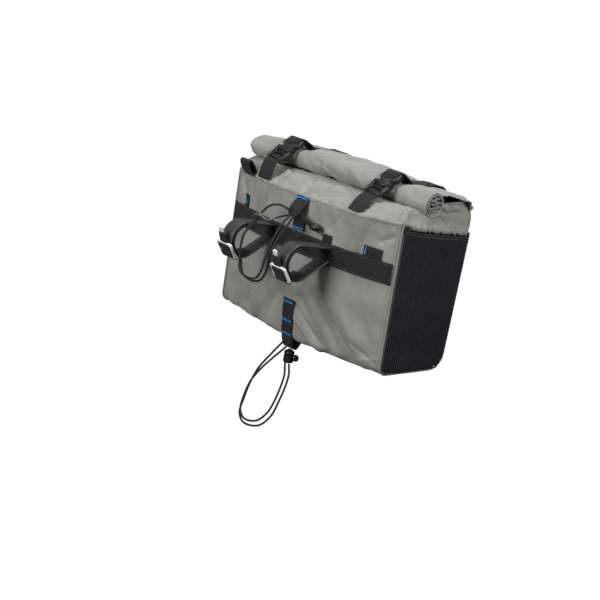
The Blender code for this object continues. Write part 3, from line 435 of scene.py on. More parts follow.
def ruffle(x, y, z):
    """Soft noise between -1 and 1."""
    return noise.noise(Vector((x, y, z)))


def along(points, across, column):
    """The table's column at this share across, eased from row to row."""
    across = clamp(across, points[0]["across"], points[-1]["across"])
    for low, high in zip(points, points[1:]):
        if across <= high["across"]:
            t = (across - low["across"]) / (high["across"] - low["across"])
            return blend(low[column], high[column], smooth(t))
    return points[-1][column]


def crease(row, x, y, power):
    """One crease's push at a place: full along its line, and falling off beside it."""
    run_x, run_y = row["x_end"] - row["x"], row["y_end"] - row["y"]
    t = clamp(((x - row["x"]) * run_x + (y - row["y"]) * run_y) / (run_x ** 2 + run_y ** 2))
    gap = math.hypot(x - row["x"] - run_x * t, y - row["y"] - run_y * t)
    return row["depth"] * math.exp(-((gap / row["width"]) ** power))


# Materials


class Look:
    """A material with a few helpers for its nodes."""

    def __init__(self, name, colour, roughness, **settings):
        self.material = bpy.data.materials.new(name)
        self.material.use_nodes = True
        self.tree = self.material.node_tree
        self.shader = self.tree.nodes["Principled BSDF"]
        self.shader.inputs["Base Color"].default_value = (*colour, 1)
        self.shader.inputs["Roughness"].default_value = roughness
        for socket, value in settings.items():
            self.shader.inputs[socket.replace("_", " ")].default_value = value

    def node(self, kind, **inputs):
        made = self.tree.nodes.new(kind)
        for socket, value in inputs.items():
            self.feed(made.inputs[socket.replace("_", " ")], value)
        return made

    def feed(self, socket, value):
        if isinstance(value, bpy.types.NodeSocket):
            self.tree.links.new(value, socket)
        else:
            socket.default_value = value

    def maths(self, operation, a, b=None):
        made = self.tree.nodes.new("ShaderNodeMath")
        made.operation = operation
        self.feed(made.inputs[0], a)
        if b is not None:
            self.feed(made.inputs[1], b)
        return made.outputs[0]

    def uv(self):
        """The two surface coordinates, in metres along and across."""
        place = self.tree.nodes.new("ShaderNodeUVMap")
        split = self.node("ShaderNodeSeparateXYZ", Vector=place.outputs[0])
        return place.outputs[0], split.outputs[0], split.outputs[1]

    def wave(self, along, period, shift=None):
        """A sine of one coordinate, from -1 to 1."""
        phase = self.maths("MULTIPLY", along, 2 * math.pi / period)
        if shift is not None:
            phase = self.maths("ADD", phase, shift)
        return self.maths("SINE", phase)

    def noise(self, place, size, detail=2.0):
        made = self.node("ShaderNodeTexNoise", Vector=place, Scale=1 / size, Detail=detail)
        return made.outputs["Fac"]

    def object_place(self):
        return self.tree.nodes.new("ShaderNodeTexCoord").outputs["Object"]

    def mix(self, factor, low, high):
        made = self.tree.nodes.new("ShaderNodeMix")
        made.data_type = "RGBA"
        self.feed(made.inputs["Factor"], factor)
        for socket, colour in ((made.inputs[6], low), (made.inputs[7], high)):
            self.feed(socket, colour if isinstance(colour, bpy.types.NodeSocket) else (*colour, 1))
        return made.outputs[2]

    def spread(self, value, low, high):
        """Maps a value between low and high to 0 to 1."""
        made = self.node("ShaderNodeMapRange", Value=value, From_Min=low, From_Max=high)
        return made.outputs[0]

    def bump(self, height, distance, strength=1.0, below=None):
        made = self.node("ShaderNodeBump", Height=height, Distance=distance, Strength=strength)
        if below is not None:
            self.feed(made.inputs["Normal"], below)
        return made.outputs[0]

    def colour(self, value):
        self.feed(self.shader.inputs["Base Color"], value)

    def roughness(self, value):
        self.feed(self.shader.inputs["Roughness"], value)

    def normal(self, value):
        self.feed(self.shader.inputs["Normal"], value)


def nylon():
    """Plain-woven grey-green nylon, with faint mottling and crinkles."""
    look = Look("nylon", (0.30, 0.31, 0.275), 0.60, Sheen_Weight=0.25, Sheen_Roughness=0.4)
    place, u, v = look.uv()
    patches = look.spread(look.noise(place, 0.030, 3), 0.35, 0.65)
    threads = look.spread(look.noise(place, 0.0009, 1), 0.30, 0.70)
    tone = look.mix(patches, (0.205, 0.210, 0.184), (0.240, 0.246, 0.217))
    look.colour(look.mix(look.maths("MULTIPLY", threads, 0.35), tone, (0.165, 0.168, 0.150)))
    look.roughness(look.spread(patches, -1.5, 2.2))
    weave = look.maths("MULTIPLY", look.wave(u, 0.0011), look.wave(v, 0.0011))
    crinkle = look.noise(place, 0.0060, 3)
    look.normal(look.bump(weave, 0.00006, 0.6, look.bump(crinkle, 0.0007, 0.5)))
    return look.material


def webbing_look():
    """Flat webbing with fine chevron ribs across its width."""
    colour = (0.009, 0.009, 0.010)
    look = Look("black_webbing", colour, 0.80, Sheen_Weight=0.05, Specular_IOR_Level=0.25)
    place, u, v = look.uv()
    chevron = look.maths("MULTIPLY", look.wave(v, 0.0052), 1.6)
    ribs = look.wave(u, 0.0021, chevron)
    fuzz = look.noise(place, 0.0007, 2)
    light = [min(1.0, 2.1 * c + 0.006) for c in colour]
    look.colour(look.mix(look.maths("MULTIPLY", look.spread(ribs, -0.4, 1.0), 0.6), colour, light))
    look.normal(look.bump(ribs, 0.00022, 0.8, look.bump(fuzz, 0.0002, 0.4)))
    return look.material


def elastic_look():
    """Ribbed elastic: fine ribs along its length, gathered slightly."""
    look = Look("ribbed_elastic", (0.012, 0.012, 0.013), 0.80, Specular_IOR_Level=0.25)
    place, _, v = look.uv()
    ribs = look.wave(v, 0.0029)
    gather = look.noise(place, 0.0030, 2)
    look.colour(look.mix(look.spread(ribs, -1, 1), (0.008, 0.008, 0.009), (0.040, 0.040, 0.043)))
    look.normal(look.bump(ribs, 0.00035, 0.9, look.bump(gather, 0.0004, 0.4)))
    return look.material


def net_look():
    look = Look("net_yarn", (0.021, 0.022, 0.028), 0.50, Specular_IOR_Level=0.4)
    look.normal(look.bump(look.noise(look.object_place(), 0.0005, 2), 0.0001, 0.5))
    return look.material


def plastic_look(name, colour, roughness, grain=0.0004):
    """Moulded plastic with a fine spark-eroded grain."""
    look = Look(name, colour, roughness)
    place = look.object_place()
    look.roughness(look.spread(look.noise(place, 0.004, 3), 0.5 - 0.5 / (roughness + 0.4), 1.6))
    look.normal(look.bump(look.noise(place, grain, 2), 0.00006, 0.5))
    return look.material


def rubber_look():
    """Smooth coated strap rubber."""
    look = Look("strap_rubber", (0.028, 0.029, 0.032), 0.45)
    place = look.object_place()
    scuffs = look.spread(look.noise(place, 0.010, 4), 0.45, 0.75)
    look.colour(look.mix(scuffs, (0.024, 0.025, 0.028), (0.036, 0.037, 0.040)))
    look.normal(look.bump(look.noise(place, 0.0010, 3), 0.0001, 0.4))
    return look.material


def pad_look():
    look = Look("pad_rubber", (0.008, 0.008, 0.008), 0.65, Specular_IOR_Level=0.3)
    look.normal(look.bump(look.noise(look.object_place(), 0.0012, 3), 0.0003, 0.6))
    return look.material


def pale_look():
    """Pale painted hardware with faint handling marks."""
    look = Look("pale_hardware", (0.60, 0.63, 0.61), 0.38)
    place = look.object_place()
    marks = look.spread(look.noise(place, 0.006, 4), 0.50, 0.70)
    look.colour(look.mix(marks, (0.62, 0.65, 0.63), (0.50, 0.53, 0.51)))
    look.normal(look.bump(look.noise(place, 0.0008, 2), 0.00005, 0.4))
    return look.material


def cord_look():
    """A braided sleeve: two sets of yarns wound opposite ways."""
    look = Look("braided_cord", (0.010, 0.010, 0.011), 0.65, Specular_IOR_Level=0.35)
    _, u, v = look.uv()
    turn = look.maths("MULTIPLY", v, 4 * 2 * math.pi / (math.pi * CORD))
    right = look.wave(u, 0.0034, turn)
    left = look.wave(u, 0.0034, look.maths("MULTIPLY", turn, -1.0))
    braid = look.maths("MULTIPLY", right, left)
    look.colour(look.mix(look.spread(braid, -1, 1), (0.004, 0.004, 0.005), (0.022, 0.022, 0.023)))
    look.normal(look.bump(braid, 0.00025, 0.9))
    return look.material


def thread_look(name, colour):
    look = Look(name, colour, 0.55, Sheen_Weight=0.3)
    look.normal(look.bump(look.noise(look.object_place(), 0.0004, 1), 0.0001, 0.5))
    return look.material


def plain_look(name, colour, roughness):
    return Look(name, colour, roughness).material


NYLON = nylon()
WEBBED = webbing_look()
ELASTIC = elastic_look()
NET = net_look()
# painted shade: a near-black sheet that stands in for the shade seen through the nets' holes
NET_SHADE = plain_look("net_painted_shade", (0.002, 0.002, 0.003), 0.95)
PLASTIC = plastic_look("black_plastic", (0.007, 0.007, 0.008), 0.34)
GLOSS = plastic_look("glossy_plastic", (0.005, 0.005, 0.006), 0.16, 0.0015)
RUBBER = rubber_look()
PAD = pad_look()
PALE = pale_look()
HOOK = plastic_look("dark_hook", (0.060, 0.062, 0.066), 0.28)
CORD_LOOK = cord_look()
BLUE = thread_look("blue_thread", (0.0, 0.36, 0.95))
GREY_THREAD = thread_look("grey_thread", (0.10, 0.105, 0.09))
DARK_THREAD = thread_look("dark_thread", (0.03, 0.03, 0.032))

# Meshes


def piece(name, points, faces, look, uvs=None, node=None, sharp=40):
    """A mesh piece of the bag. uvs holds one pair for each point."""
    mesh = bpy.data.meshes.new(name)
    mesh.from_pydata([tuple(p) for p in points], [], faces)
    mesh.update()
    if uvs is not None:
        layer = mesh.uv_layers.new(name="surface")
        corners = np.empty(len(mesh.loops), dtype=np.int32)
        mesh.loops.foreach_get("vertex_index", corners)
        layer.data.foreach_set("uv", np.asarray(uvs, dtype=np.float32)[corners].ravel())
    mesh.materials.append(look)
    mesh.shade_smooth()
    mesh.set_sharp_from_angle(angle=math.radians(sharp))
    return adopt(shown(name, mesh), node)


def shown(name, data):
    """A new object in the scene that holds this mesh, curve, light or camera."""
    made = bpy.data.objects.new(name, data)
    bpy.context.scene.collection.objects.link(made)
    return made


def adopt(made, node=None):
    """Puts a piece on its body and hides the solid that it replaces."""
    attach(made, "root")
    if node is not None:
        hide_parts(node)
    return made


def thicken(made, thickness, side):
    solid = made.modifiers.new("thickness", "SOLIDIFY")
    solid.thickness = thickness
    solid.offset = side
    return made


def grid_faces(rows, columns, first=0):
    faces = []
    for i in range(rows - 1):
        for j in range(columns - 1):
            a = first + i * columns + j
            faces.append((a, a + 1, a + columns + 1, a + columns))
    return faces


def lengths(points):
    """Distances along a row of points."""
    steps = np.linalg.norm(np.diff([tuple(p) for p in points], axis=0), axis=1)
    return np.concatenate([[0.0], np.cumsum(steps)])


def cross_stations(width, thickness, steps):
    """Offsets across a strip with, for each, its share of the full thickness: round at both edges."""
    edge = min(thickness * 0.5, width * 0.2)
    half = width / 2
    rim = [(0.0, 0.25), (0.25, 0.66), (0.6, 0.92), (1.0, 1.0)]
    low = [(-half + edge * t, share) for t, share in rim]
    inner = [(-half + edge + (width - 2 * edge) * k / steps, 1.0) for k in range(1, steps)]
    high = [(half - edge * t, share) for t, share in reversed(rim)]
    return low + inner + high


def slab(name, grid, shares, thickness, look, node=None, round_ends=True):
    """A closed strip round a grid of points (length, across, 3), its thickness shared out across."""
    grid = np.asarray(grid, dtype=float)
    rows, columns = grid.shape[:2]
    run = np.gradient(grid, axis=0)
    reach = np.gradient(grid, axis=1)
    normal = np.cross(run, reach)
    normal /= np.maximum(np.linalg.norm(normal, axis=2, keepdims=True), 1e-12)
    half = np.tile(np.asarray(shares)[None, :, None] * thickness / 2, (rows, 1, 1))
    if round_ends:
        half[0] *= 0.5
        half[-1] *= 0.5
    top, bottom = grid + normal * half, grid - normal * half
    points = np.concatenate([top.reshape(-1, 3), bottom.reshape(-1, 3)])
    u = lengths(grid[:, columns // 2])
    v = lengths(grid[rows // 2])
    uv = np.stack(np.meshgrid(u, v, indexing="ij"), axis=2).reshape(-1, 2)
    size = rows * columns
    faces = [tuple(reversed(f)) for f in grid_faces(rows, columns)]
    faces += grid_faces(rows, columns, size)
    rim = [i * columns for i in range(rows)]
    rim += [(rows - 1) * columns + j for j in range(1, columns)]
    rim += [i * columns + columns - 1 for i in range(rows - 2, -1, -1)]
    rim += [j for j in range(columns - 2, 0, -1)]
    for a, b in zip(rim, rim[1:] + rim[:1]):
        faces.append((a, b, b + size, a + size))
    made = piece(name, points, faces, look, np.concatenate([uv, uv]), node, 50)
    mend(made, weld=False)
    return made


def mend(made, weld=True):
    """Joins points that lie together and turns all faces outwards."""
    shape = bmesh.new()
    shape.from_mesh(made.data)
    if weld:
        bmesh.ops.remove_doubles(shape, verts=shape.verts, dist=WELD)
    bmesh.ops.recalc_face_normals(shape, faces=shape.faces)
    shape.to_mesh(made.data)
    shape.free()


def fine_path(points, step):
    """Points about a step apart on a Catmull-Rom curve through the given ones."""
    chosen = [Vector(p) for p in points]
    chosen = [2 * chosen[0] - chosen[1], *chosen, 2 * chosen[-1] - chosen[-2]]
    route = []
    for a, b, c, d in zip(chosen, chosen[1:], chosen[2:], chosen[3:]):
        count = max(1, round((c - b).length / step))
        for k in range(count):
            t = k / count
            route.append(
                0.5 * (2 * b + (c - a) * t + (2 * a - 5 * b + 4 * c - d) * t * t
                       + (3 * b - 3 * c + d - a) * t ** 3)
            )
    return [*route, chosen[-2]]


def ribbon(name, path, width, thickness, look, node=None, across=(1, 0, 0), step=0.0015, ripple=0.0):
    """A strip along a path, its width laid one way. Ripple is how far its edges wave."""
    reach = np.array(Vector(across).normalized())
    line = np.array([tuple(p) for p in fine_path(path, step)])
    stations = cross_stations(width, thickness, 8)
    run = np.gradient(line, axis=0)
    out = np.cross(run, reach)
    out /= np.linalg.norm(out, axis=1, keepdims=True)
    grid = np.zeros((len(line), len(stations), 3))
    for j, (offset, _) in enumerate(stations):
        wave = ripple * (offset / (width / 2)) ** 2 * np.sin(lengths(line) * 420 + offset * 300)
        grid[:, j] = line + reach * offset + out * wave[:, None]
    return slab(name, grid, [share for _, share in stations], thickness, look, node)


def tube(name, path, radius, look, node=None, sides=12, step=0.0018, round_ends=True):
    """A round cord or wire along a path, with surface coordinates for its braid."""
    line = [Vector(p) for p in (fine_path(path, step) if step else path)]
    normal = (line[1] - line[0]).orthogonal().normalized()
    distance = lengths(line)
    points, uvs = [], []
    for k, place in enumerate(line):
        run = (line[min(k + 1, len(line) - 1)] - line[max(k - 1, 0)]).normalized()
        normal = (normal - run * normal.dot(run)).normalized()
        beside = run.cross(normal)
        rounding = 0.72 if round_ends and k in (0, len(line) - 1) else 1.0
        for s in range(sides + 1):
            angle = 2 * math.pi * s / sides
            points.append(place + (normal * math.cos(angle) + beside * math.sin(angle)) * radius * rounding)
            uvs.append((distance[k], angle * radius))
    columns = sides + 1
    faces = [tuple(reversed(f)) for f in grid_faces(len(line), columns)]
    faces.append(tuple(range(sides)))
    last = (len(line) - 1) * columns
    faces.append(tuple(reversed(range(last, last + sides))))
    made = piece(name, points, faces, look, uvs, node)
    mend(made)
    return made


def stitches(name, path, look, out):
    """A run of separate stitches along a path; out gives the way they stand off, at each point."""
    line = np.array([tuple(p) for p in path])
    distance = lengths(line)
    points, faces = [], []
    start = STITCH_GAP
    while start + STITCH < distance[-1]:
        ends = [
            Vector([np.interp(start + share * STITCH, distance, line[:, axis]) for axis in range(3)])
            for share in (0.0, 0.3, 0.7, 1.0)
        ]
        away = out(ends[1]) if callable(out) else Vector(out)
        run = (ends[-1] - ends[0]).normalized()
        beside = run.cross(away).normalized()
        first = len(points)
        for end, lift in zip(ends, (-0.6, 0.7, 0.7, -0.6)):
            for s in range(5):
                angle = 2 * math.pi * s / 5
                ring = beside * math.cos(angle) + away * math.sin(angle)
                points.append(end + (away * lift + ring) * THREAD)
        for k in range(3):
            for s in range(5):
                a, b = first + 5 * k + s, first + 5 * k + (s + 1) % 5
                faces.append((a, b, b + 5, a + 5))
        faces.append(tuple(first + s for s in range(5)))
        faces.append(tuple(first + 15 + s for s in reversed(range(5))))
        start += STITCH + STITCH_GAP
    made = piece(name, points, faces, look, sharp=80)
    mend(made, weld=False)
    return made


def bartack(name, centre, run, beside, out, length, width):
    """A dense zigzag of thread: run is the way it is long, beside the way each thread crosses."""
    run, beside, out = (Vector(d).normalized() for d in (run, beside, out))
    centre = Vector(centre)
    count = max(4, round(length / TACK_PITCH))
    path = []
    for k in range(count + 1):
        side = -1 if k % 2 else 1
        path.append(centre + run * length * (k / count - 0.5) + beside * side * width / 2 + out * 0.0002)
    return tube(name, path, TACK_THREAD, BLUE, sides=5, step=0)


# The main bag


def wall_creases(rows):
    """A table of folds in metres on the unrolled wall: x across, y up."""
    height = SEAM_RISE - BOTTOM
    return [
        {
            "side": row["side"],
            "x": row["across"] * HALF,
            "y": row["up"] * height,
            "x_end": row["across_end"] * HALF,
            "y_end": row["up_end"] * height,
            "depth": row["depth"] * FOLD_DEPTH,
            "width": row["width"] * FOLD_WIDTH,
        }
        for row in rows
    ]


MAIN_FOLDS = wall_creases(FOLDS)
FINE_CREASES = wall_creases(CREASES)


def fold_push(rows, side, across, up, power=2.0):
    """How far a table's folds push the cloth out at a place; a lower power makes sharper creases."""
    x, y = across * HALF, up * (SEAM_RISE - BOTTOM)
    return sum(crease(row, x, y, power) for row in rows if row["side"] == side)


def pinch(x):
    """How far the closure straps press the roll in."""
    return sum(ROLL_PINCH * bell((x - sign * CLOSURE_SPREAD) / ROLL_PINCH_SPAN) for sign in (-1, 1))


def roll_centre(x):
    across = x / (ROLL_LENGTH / 2)
    ahead = BAR_TO_BAG + BAG_DEPTH * along(ROLL_LINE, across, "ahead")
    rise = ROLL_RISE + ROLL_RADIUS * along(ROLL_LINE, across, "rise")
    return ahead, rise - pinch(x)


def roll_radius(x):
    across = x / (ROLL_LENGTH / 2)
    return ROLL_RADIUS * along(ROLL_LINE, across, "radius") - pinch(x)


def crown(across, power):
    """One in the middle of the bag, falling to nothing at both ends."""
    return max(0.0, 1 - abs(across) ** power)


def seam_z(across):
    return SEAM_RISE - SEAM_SAG * crown(across, 2) - SEAM_DIP * smooth((-0.15 - across) / 0.85)


def back_y(across, z):
    height = clamp((z - BOTTOM) / (SEAM_RISE - BOTTOM))
    fullness = 0.62 + 0.38 * math.sin(math.pi * min(height, 0.5))
    return BAR_TO_BAG - BACK_BULGE * crown(across, 2.2) ** 0.9 * fullness


def front_y(across, z):
    height = clamp((z - BOTTOM) / (FRONT_RISE - BOTTOM))
    fullness = math.sin(math.pi * clamp(0.15 + 0.70 * height))
    return FRONT_Y - FRONT_TAPER * (1 - height) + FRONT_BULGE * crown(across, 2.5) * fullness


def bottom_z(across):
    return BOTTOM - BOTTOM_SAG * crown(across, 2)


def rim_point(x):
    """Where the back panel's cloth runs into the roll, below it."""
    ahead, rise = roll_centre(x)
    return ahead - 0.2 * ROLL_RADIUS, rise - roll_radius(x) - RIM_DROP


def section(across):
    """The bag's outline at one station, from the back rim down and round to the front rim."""
    floor = bottom_z(across)
    seam = (back_y(across, seam_z(across)), seam_z(across))
    rim = rim_point(across * HALF)
    rise = ROLL_RISE - SEAM_RISE
    crest = (
        seam[0] + BAG_DEPTH * along(SHOULDER, across, "crest_ahead"),
        seam[1] + rise * along(SHOULDER, across, "crest_rise"),
    )
    outline = []
    for k in range(SHOULDER_STEPS):
        t = 1 - k / SHOULDER_STEPS
        y, z = (
            (1 - t) ** 2 * s + 2 * t * (1 - t) * c + t * t * r
            for s, c, r in zip(seam, crest, rim)
        )
        outline.append((y, z, "back", 1 + t))
    wall_foot = floor + BOTTOM_RADIUS
    back_foot = floor + BACK_RADIUS
    for k in range(WALL_STEPS):
        z = blend(seam[1], back_foot, k / WALL_STEPS)
        outline.append((back_y(across, z), z, "back", (z - floor) / (seam[1] - floor)))
    back = back_y(across, back_foot)
    front = front_y(across, wall_foot)
    for k in range(CORNER_STEPS):
        angle = math.pi / 2 * k / CORNER_STEPS
        y = back + BACK_RADIUS * (1 - math.cos(angle))
        z = back_foot - BACK_RADIUS * math.sin(angle)
        outline.append((y, z, "back", (z - floor) / (seam[1] - floor)))
    for k in range(BOTTOM_STEPS):
        y = blend(back + BACK_RADIUS, front - BOTTOM_RADIUS, k / BOTTOM_STEPS)
        outline.append((y, floor, "bottom", 0.0))
    for k in range(CORNER_STEPS):
        angle = math.pi / 2 * k / CORNER_STEPS
        y = front - BOTTOM_RADIUS * (1 - math.sin(angle))
        z = wall_foot - BOTTOM_RADIUS * math.cos(angle)
        outline.append((y, z, "front", (z - floor) / (FRONT_RISE - floor)))
    steps = WALL_STEPS + SHOULDER_STEPS
    for k in range(steps + 1):
        z = blend(wall_foot, FRONT_RISE, k / steps)
        outline.append((front_y(across, z), z, "front", (z - floor) / (FRONT_RISE - floor)))
    return outline


def crumple(across, up, y, side):
    """Small wrinkles: soft waves, crinkles and the puckers beside the seams."""
    x = across * HALF
    place = Vector((x, y * 0.6, up * 0.18))
    soft = ruffle(x * 22 + up * 3, up * 5.0, 3.1) * 0.0017
    long = ruffle(x * 60 + up * 6, up * 3.2, 7.7) * 0.0006
    fine = -0.0004 * abs(noise.noise(place * 60))
    fine -= 0.0002 * abs(noise.noise(place * 130 + Vector((5, 2, 8))))
    if side == "back" and up > 1:
        fine -= 0.0020 * abs(ruffle(x * 11 + up * 1.5, up * 5.0 - x * 16, 6.3))
    phase = x / 0.0035 + 2.2 * ruffle(x * 40, 0, 1)
    pucker = 0.0
    if side == "back":
        pucker = 0.0006 * math.sin(phase) * bell((up - 1) / 0.06)
    if side != "bottom":
        pucker += 0.0004 * math.sin(phase * 0.9 + 2) * bell(up / 0.07)
    return soft + long + fine + pucker


def shell_outline(across, inset=0.0):
    outline = section(across)
    flat = 1 - smooth((abs(across) - 0.93) / 0.07)
    made = []
    for k, (y, z, side, up) in enumerate(outline):
        push = 0.0
        if side != "bottom":
            edge = smooth((1.98 - up) / 0.25) if side == "back" else smooth((0.93 - up) / 0.15)
            push = fold_push(MAIN_FOLDS, side, across, up) + fold_push(FINE_CREASES, side, across, up, 1.25)
            push *= edge
        push = (push + crumple(across, up, y, side) * (0.4 if side == "bottom" else 1.0)) * flat
        a, b = outline[max(k - 1, 0)], outline[min(k + 1, len(outline) - 1)]
        run = Vector((b[0] - a[0], b[1] - a[1])).normalized()
        made.append((y + run.y * (push - inset), z - run.x * (push - inset)))
    return made


def gusset_inset(z):
    """How far the end panels draw in towards the mouth."""
    share = clamp((z - GUSSET_RISE) / (FRONT_RISE - GUSSET_RISE))
    return GUSSET_INSET * (1 - math.sqrt(1 - 0.96 * share * share)) / 0.8


def gather(y, z, deep, sign):
    """How far the gusset's cloth puckers out above the pocket's elastic."""
    rise = z - pocket_top(y)
    over = smooth(rise / 0.006) * smooth((0.97 - deep) / 0.1)
    broad = 0.0028 * math.sin(math.pi * deep) + 0.0022 * ruffle(y * 38, z * 60, sign * 9)
    near = bell((rise - 0.001) / 0.0042) * smooth((rise + 0.0006) / 0.0016)
    fine = 0.0022 * abs(math.sin(y / 0.0036 + 2.5 * ruffle(y * 60, 0, 2)))
    return over * broad + near * (0.0030 + 0.0004 / (0.4 + deep) + fine)


def end_x(y, z, sign):
    """The end panel's outer face."""
    deep = clamp((y - BAR_TO_BAG) / BAG_DEPTH)
    high = clamp((z - BOTTOM) / (FRONT_RISE - BOTTOM))
    swell = END_BULGE * math.sin(math.pi * deep) * math.sin(math.pi * high)
    wave = ruffle(y * 45, z * 30, sign * 4) * 0.0008 * math.sin(math.pi * deep)
    return sign * (HALF + max(0.0, swell) + wave + gather(y, z, deep, sign) - gusset_inset(z))


def stations():
    """Places across the bag between its rounded ends, as shares of its half width."""
    inner = HALF - CORNER_RADIUS
    return [inner / HALF * (2 * k / ACROSS_STEPS - 1) for k in range(ACROSS_STEPS + 1)]


def station_points(x, inset=0.0):
    across = clamp(x / HALF, -1, 1)
    return [
        Vector((x * (1 - gusset_inset(z) / HALF * smooth(abs(across))), y, z))
        for y, z in shell_outline(across, inset)
    ]


def coons(left, right, bottom, top, i, j):
    """A place inside four edges, blended from the places on them."""
    u, v = i / (len(bottom) - 1), j / (len(left) - 1)
    edges = left[j] * (1 - u) + right[j] * u + bottom[i] * (1 - v) + top[i] * v
    corners = (left[0] * (1 - u) * (1 - v) + right[0] * u * (1 - v)
               + left[-1] * (1 - u) * v + right[-1] * u * v)
    return edges - corners


def end_panel(points, edge, first, sign):
    """The faces of one end, on a grid inside the outline's edge; its new points go into points."""
    side = SHOULDER_STEPS + WALL_STEPS + CORNER_STEPS
    width = BOTTOM_STEPS
    flat = [Vector((p.y, p.z)) for p in edge]
    left = list(reversed(flat[: side + 1]))
    bottom = flat[side: side + width + 1]
    right = flat[side + width:]
    top = [left[-1].lerp(right[-1], i / width) for i in range(width + 1)]
    index = {}
    for j in range(side + 1):
        index[0, j] = first + side - j
        index[width, j] = first + side + width + j
    for i in range(1, width):
        index[i, 0] = first + side + i
        for j in range(1, side + 1):
            y, z = coons(left, right, bottom, top, i, j)
            index[i, j] = len(points)
            points.append(Vector((end_x(y, z, sign), y, z)))
    faces = []
    for i in range(width):
        for j in range(side):
            face = (index[i, j], index[i + 1, j], index[i + 1, j + 1], index[i, j + 1])
            faces.append(face if sign > 0 else face[::-1])
    return faces


WALL = {}


def shell():
    rounding = (0.0, 0.12, 0.30, 0.60)
    places = [
        (-(HALF - r * CORNER_RADIUS), (1 - math.sqrt(1 - (1 - r) ** 2)) * CORNER_RADIUS) for r in rounding
    ]
    rows = [station_points(x, inset) for x, inset in places]
    shares = stations()
    inner = [station_points(share * HALF) for share in shares]
    rows += inner
    rows += [station_points(-x, inset) for x, inset in reversed(places)]
    columns = len(rows[0])
    points = [p for row in rows for p in row]
    uvs = []
    for row in rows:
        distance = lengths(row)
        uvs += [(p.x + 0.2, d) for p, d in zip(row, distance)]
    faces = grid_faces(len(rows), columns)
    for sign, row in ((-1, 0), (1, len(rows) - 1)):
        faces += end_panel(points, rows[row], row * columns, sign)
    uvs += [(p.y + 0.5, p.z) for p in points[len(uvs):]]
    remember_walls(shares, inner)
    made = piece("bag_body", points, faces, NYLON, uvs, "bag_shell", 70)
    return thicken(made, CLOTH, -1)


def remember_walls(shares, rows):
    """Keeps the y of the back and front faces on a grid of places across and heights."""
    half = SHOULDER_STEPS + WALL_STEPS + CORNER_STEPS + BOTTOM_STEPS // 2
    heights = np.arange(BOTTOM + 0.002, FRONT_RISE, 0.001)
    WALL["x"] = np.array(shares) * HALF
    WALL["z"] = heights
    back, front = [], []
    for row in rows:
        low = np.array([(p.z, p.y) for p in reversed(row[SHOULDER_STEPS // 2:half])])
        high = np.array([(p.z, p.y) for p in row[half:]])
        back.append(np.interp(heights, np.maximum.accumulate(low[:, 0]), low[:, 1]))
        front.append(np.interp(heights, np.maximum.accumulate(high[:, 0]), high[:, 1]))
    WALL["back"], WALL["front"] = np.array(back), np.array(front)


def wall(x, z, side="back"):
    """The cloth's outer face at (x, z), evened out over a few millimetres."""
    face, values = WALL[side], []
    for dx in (-0.003, 0.0, 0.003):
        for dz in (-0.003, 0.0, 0.003):
            i = clamp(np.interp(x + dx, WALL["x"], np.arange(len(WALL["x"]))), 0, len(WALL["x"]) - 1.001)
            j = clamp(np.interp(z + dz, WALL["z"], np.arange(len(WALL["z"]))), 0, len(WALL["z"]) - 1.001)
            a, b = int(i), int(j)
            s, t = i - a, j - b
            value = (face[a, b] * (1 - s) * (1 - t) + face[a + 1, b] * s * (1 - t)
                     + face[a, b + 1] * (1 - s) * t + face[a + 1, b + 1] * s * t)
            values.append(value)
    return sum(values) / len(values)


def off_wall(x, z, lift, side="back"):
    """A place this far off the back or front wall."""
    return x, wall(x, z, side) + (-lift if side == "back" else lift), z


def laid(name, x, low, high, width, thickness, node, upright=True):
    """A strip of webbing sewn flat on the back wall, standing up it or running across it."""
    lift = REST + thickness / 2
    stations_across = cross_stations(width, thickness, 8)
    length = high - low
    steps = max(4, round(length / 0.002))
    grid = np.zeros((steps + 1, len(stations_across), 3))
    for i in range(steps + 1):
        place = blend(low, high, i / steps)
        for j, (offset, _) in enumerate(stations_across):
            px, pz = (x + offset, place) if upright else (place, x + offset)
            grid[i, j] = off_wall(px, pz, lift)
    return slab(name, grid, [share for _, share in stations_across], thickness, WEBBED, node)


# The roll


def roll_path(x):
    """The rolled cloth at one station: points and how free each one is to wrinkle."""
    ahead, rise = roll_centre(x)
    steps = round(ROLL_TURNS * SPIRAL_STEPS)
    middle = roll_radius(x) - CLOTH / 2
    inner = max(0.001, middle - ROLL_TURNS * ROLL_PITCH)
    path = []
    for a, b in zip(CORE_FOLDS, CORE_FOLDS[1:]):
        for k in range(4):
            y, z = blend(a[0], b[0], k / 4), blend(a[1], b[1], k / 4)
            path.append((ahead + inner * y, rise + inner * z, 0.0))
    for k in range(steps + 1):
        t = k / steps
        angle = math.pi / 2 + 2 * math.pi * ROLL_TURNS * (1 - t)
        radius = blend(inner, middle, t)
        free = smooth((t - 0.58) / 0.1)
        path.append((ahead + radius * math.cos(angle), rise + radius * math.sin(angle), free))
    return path + flap_path(x, path[-1])


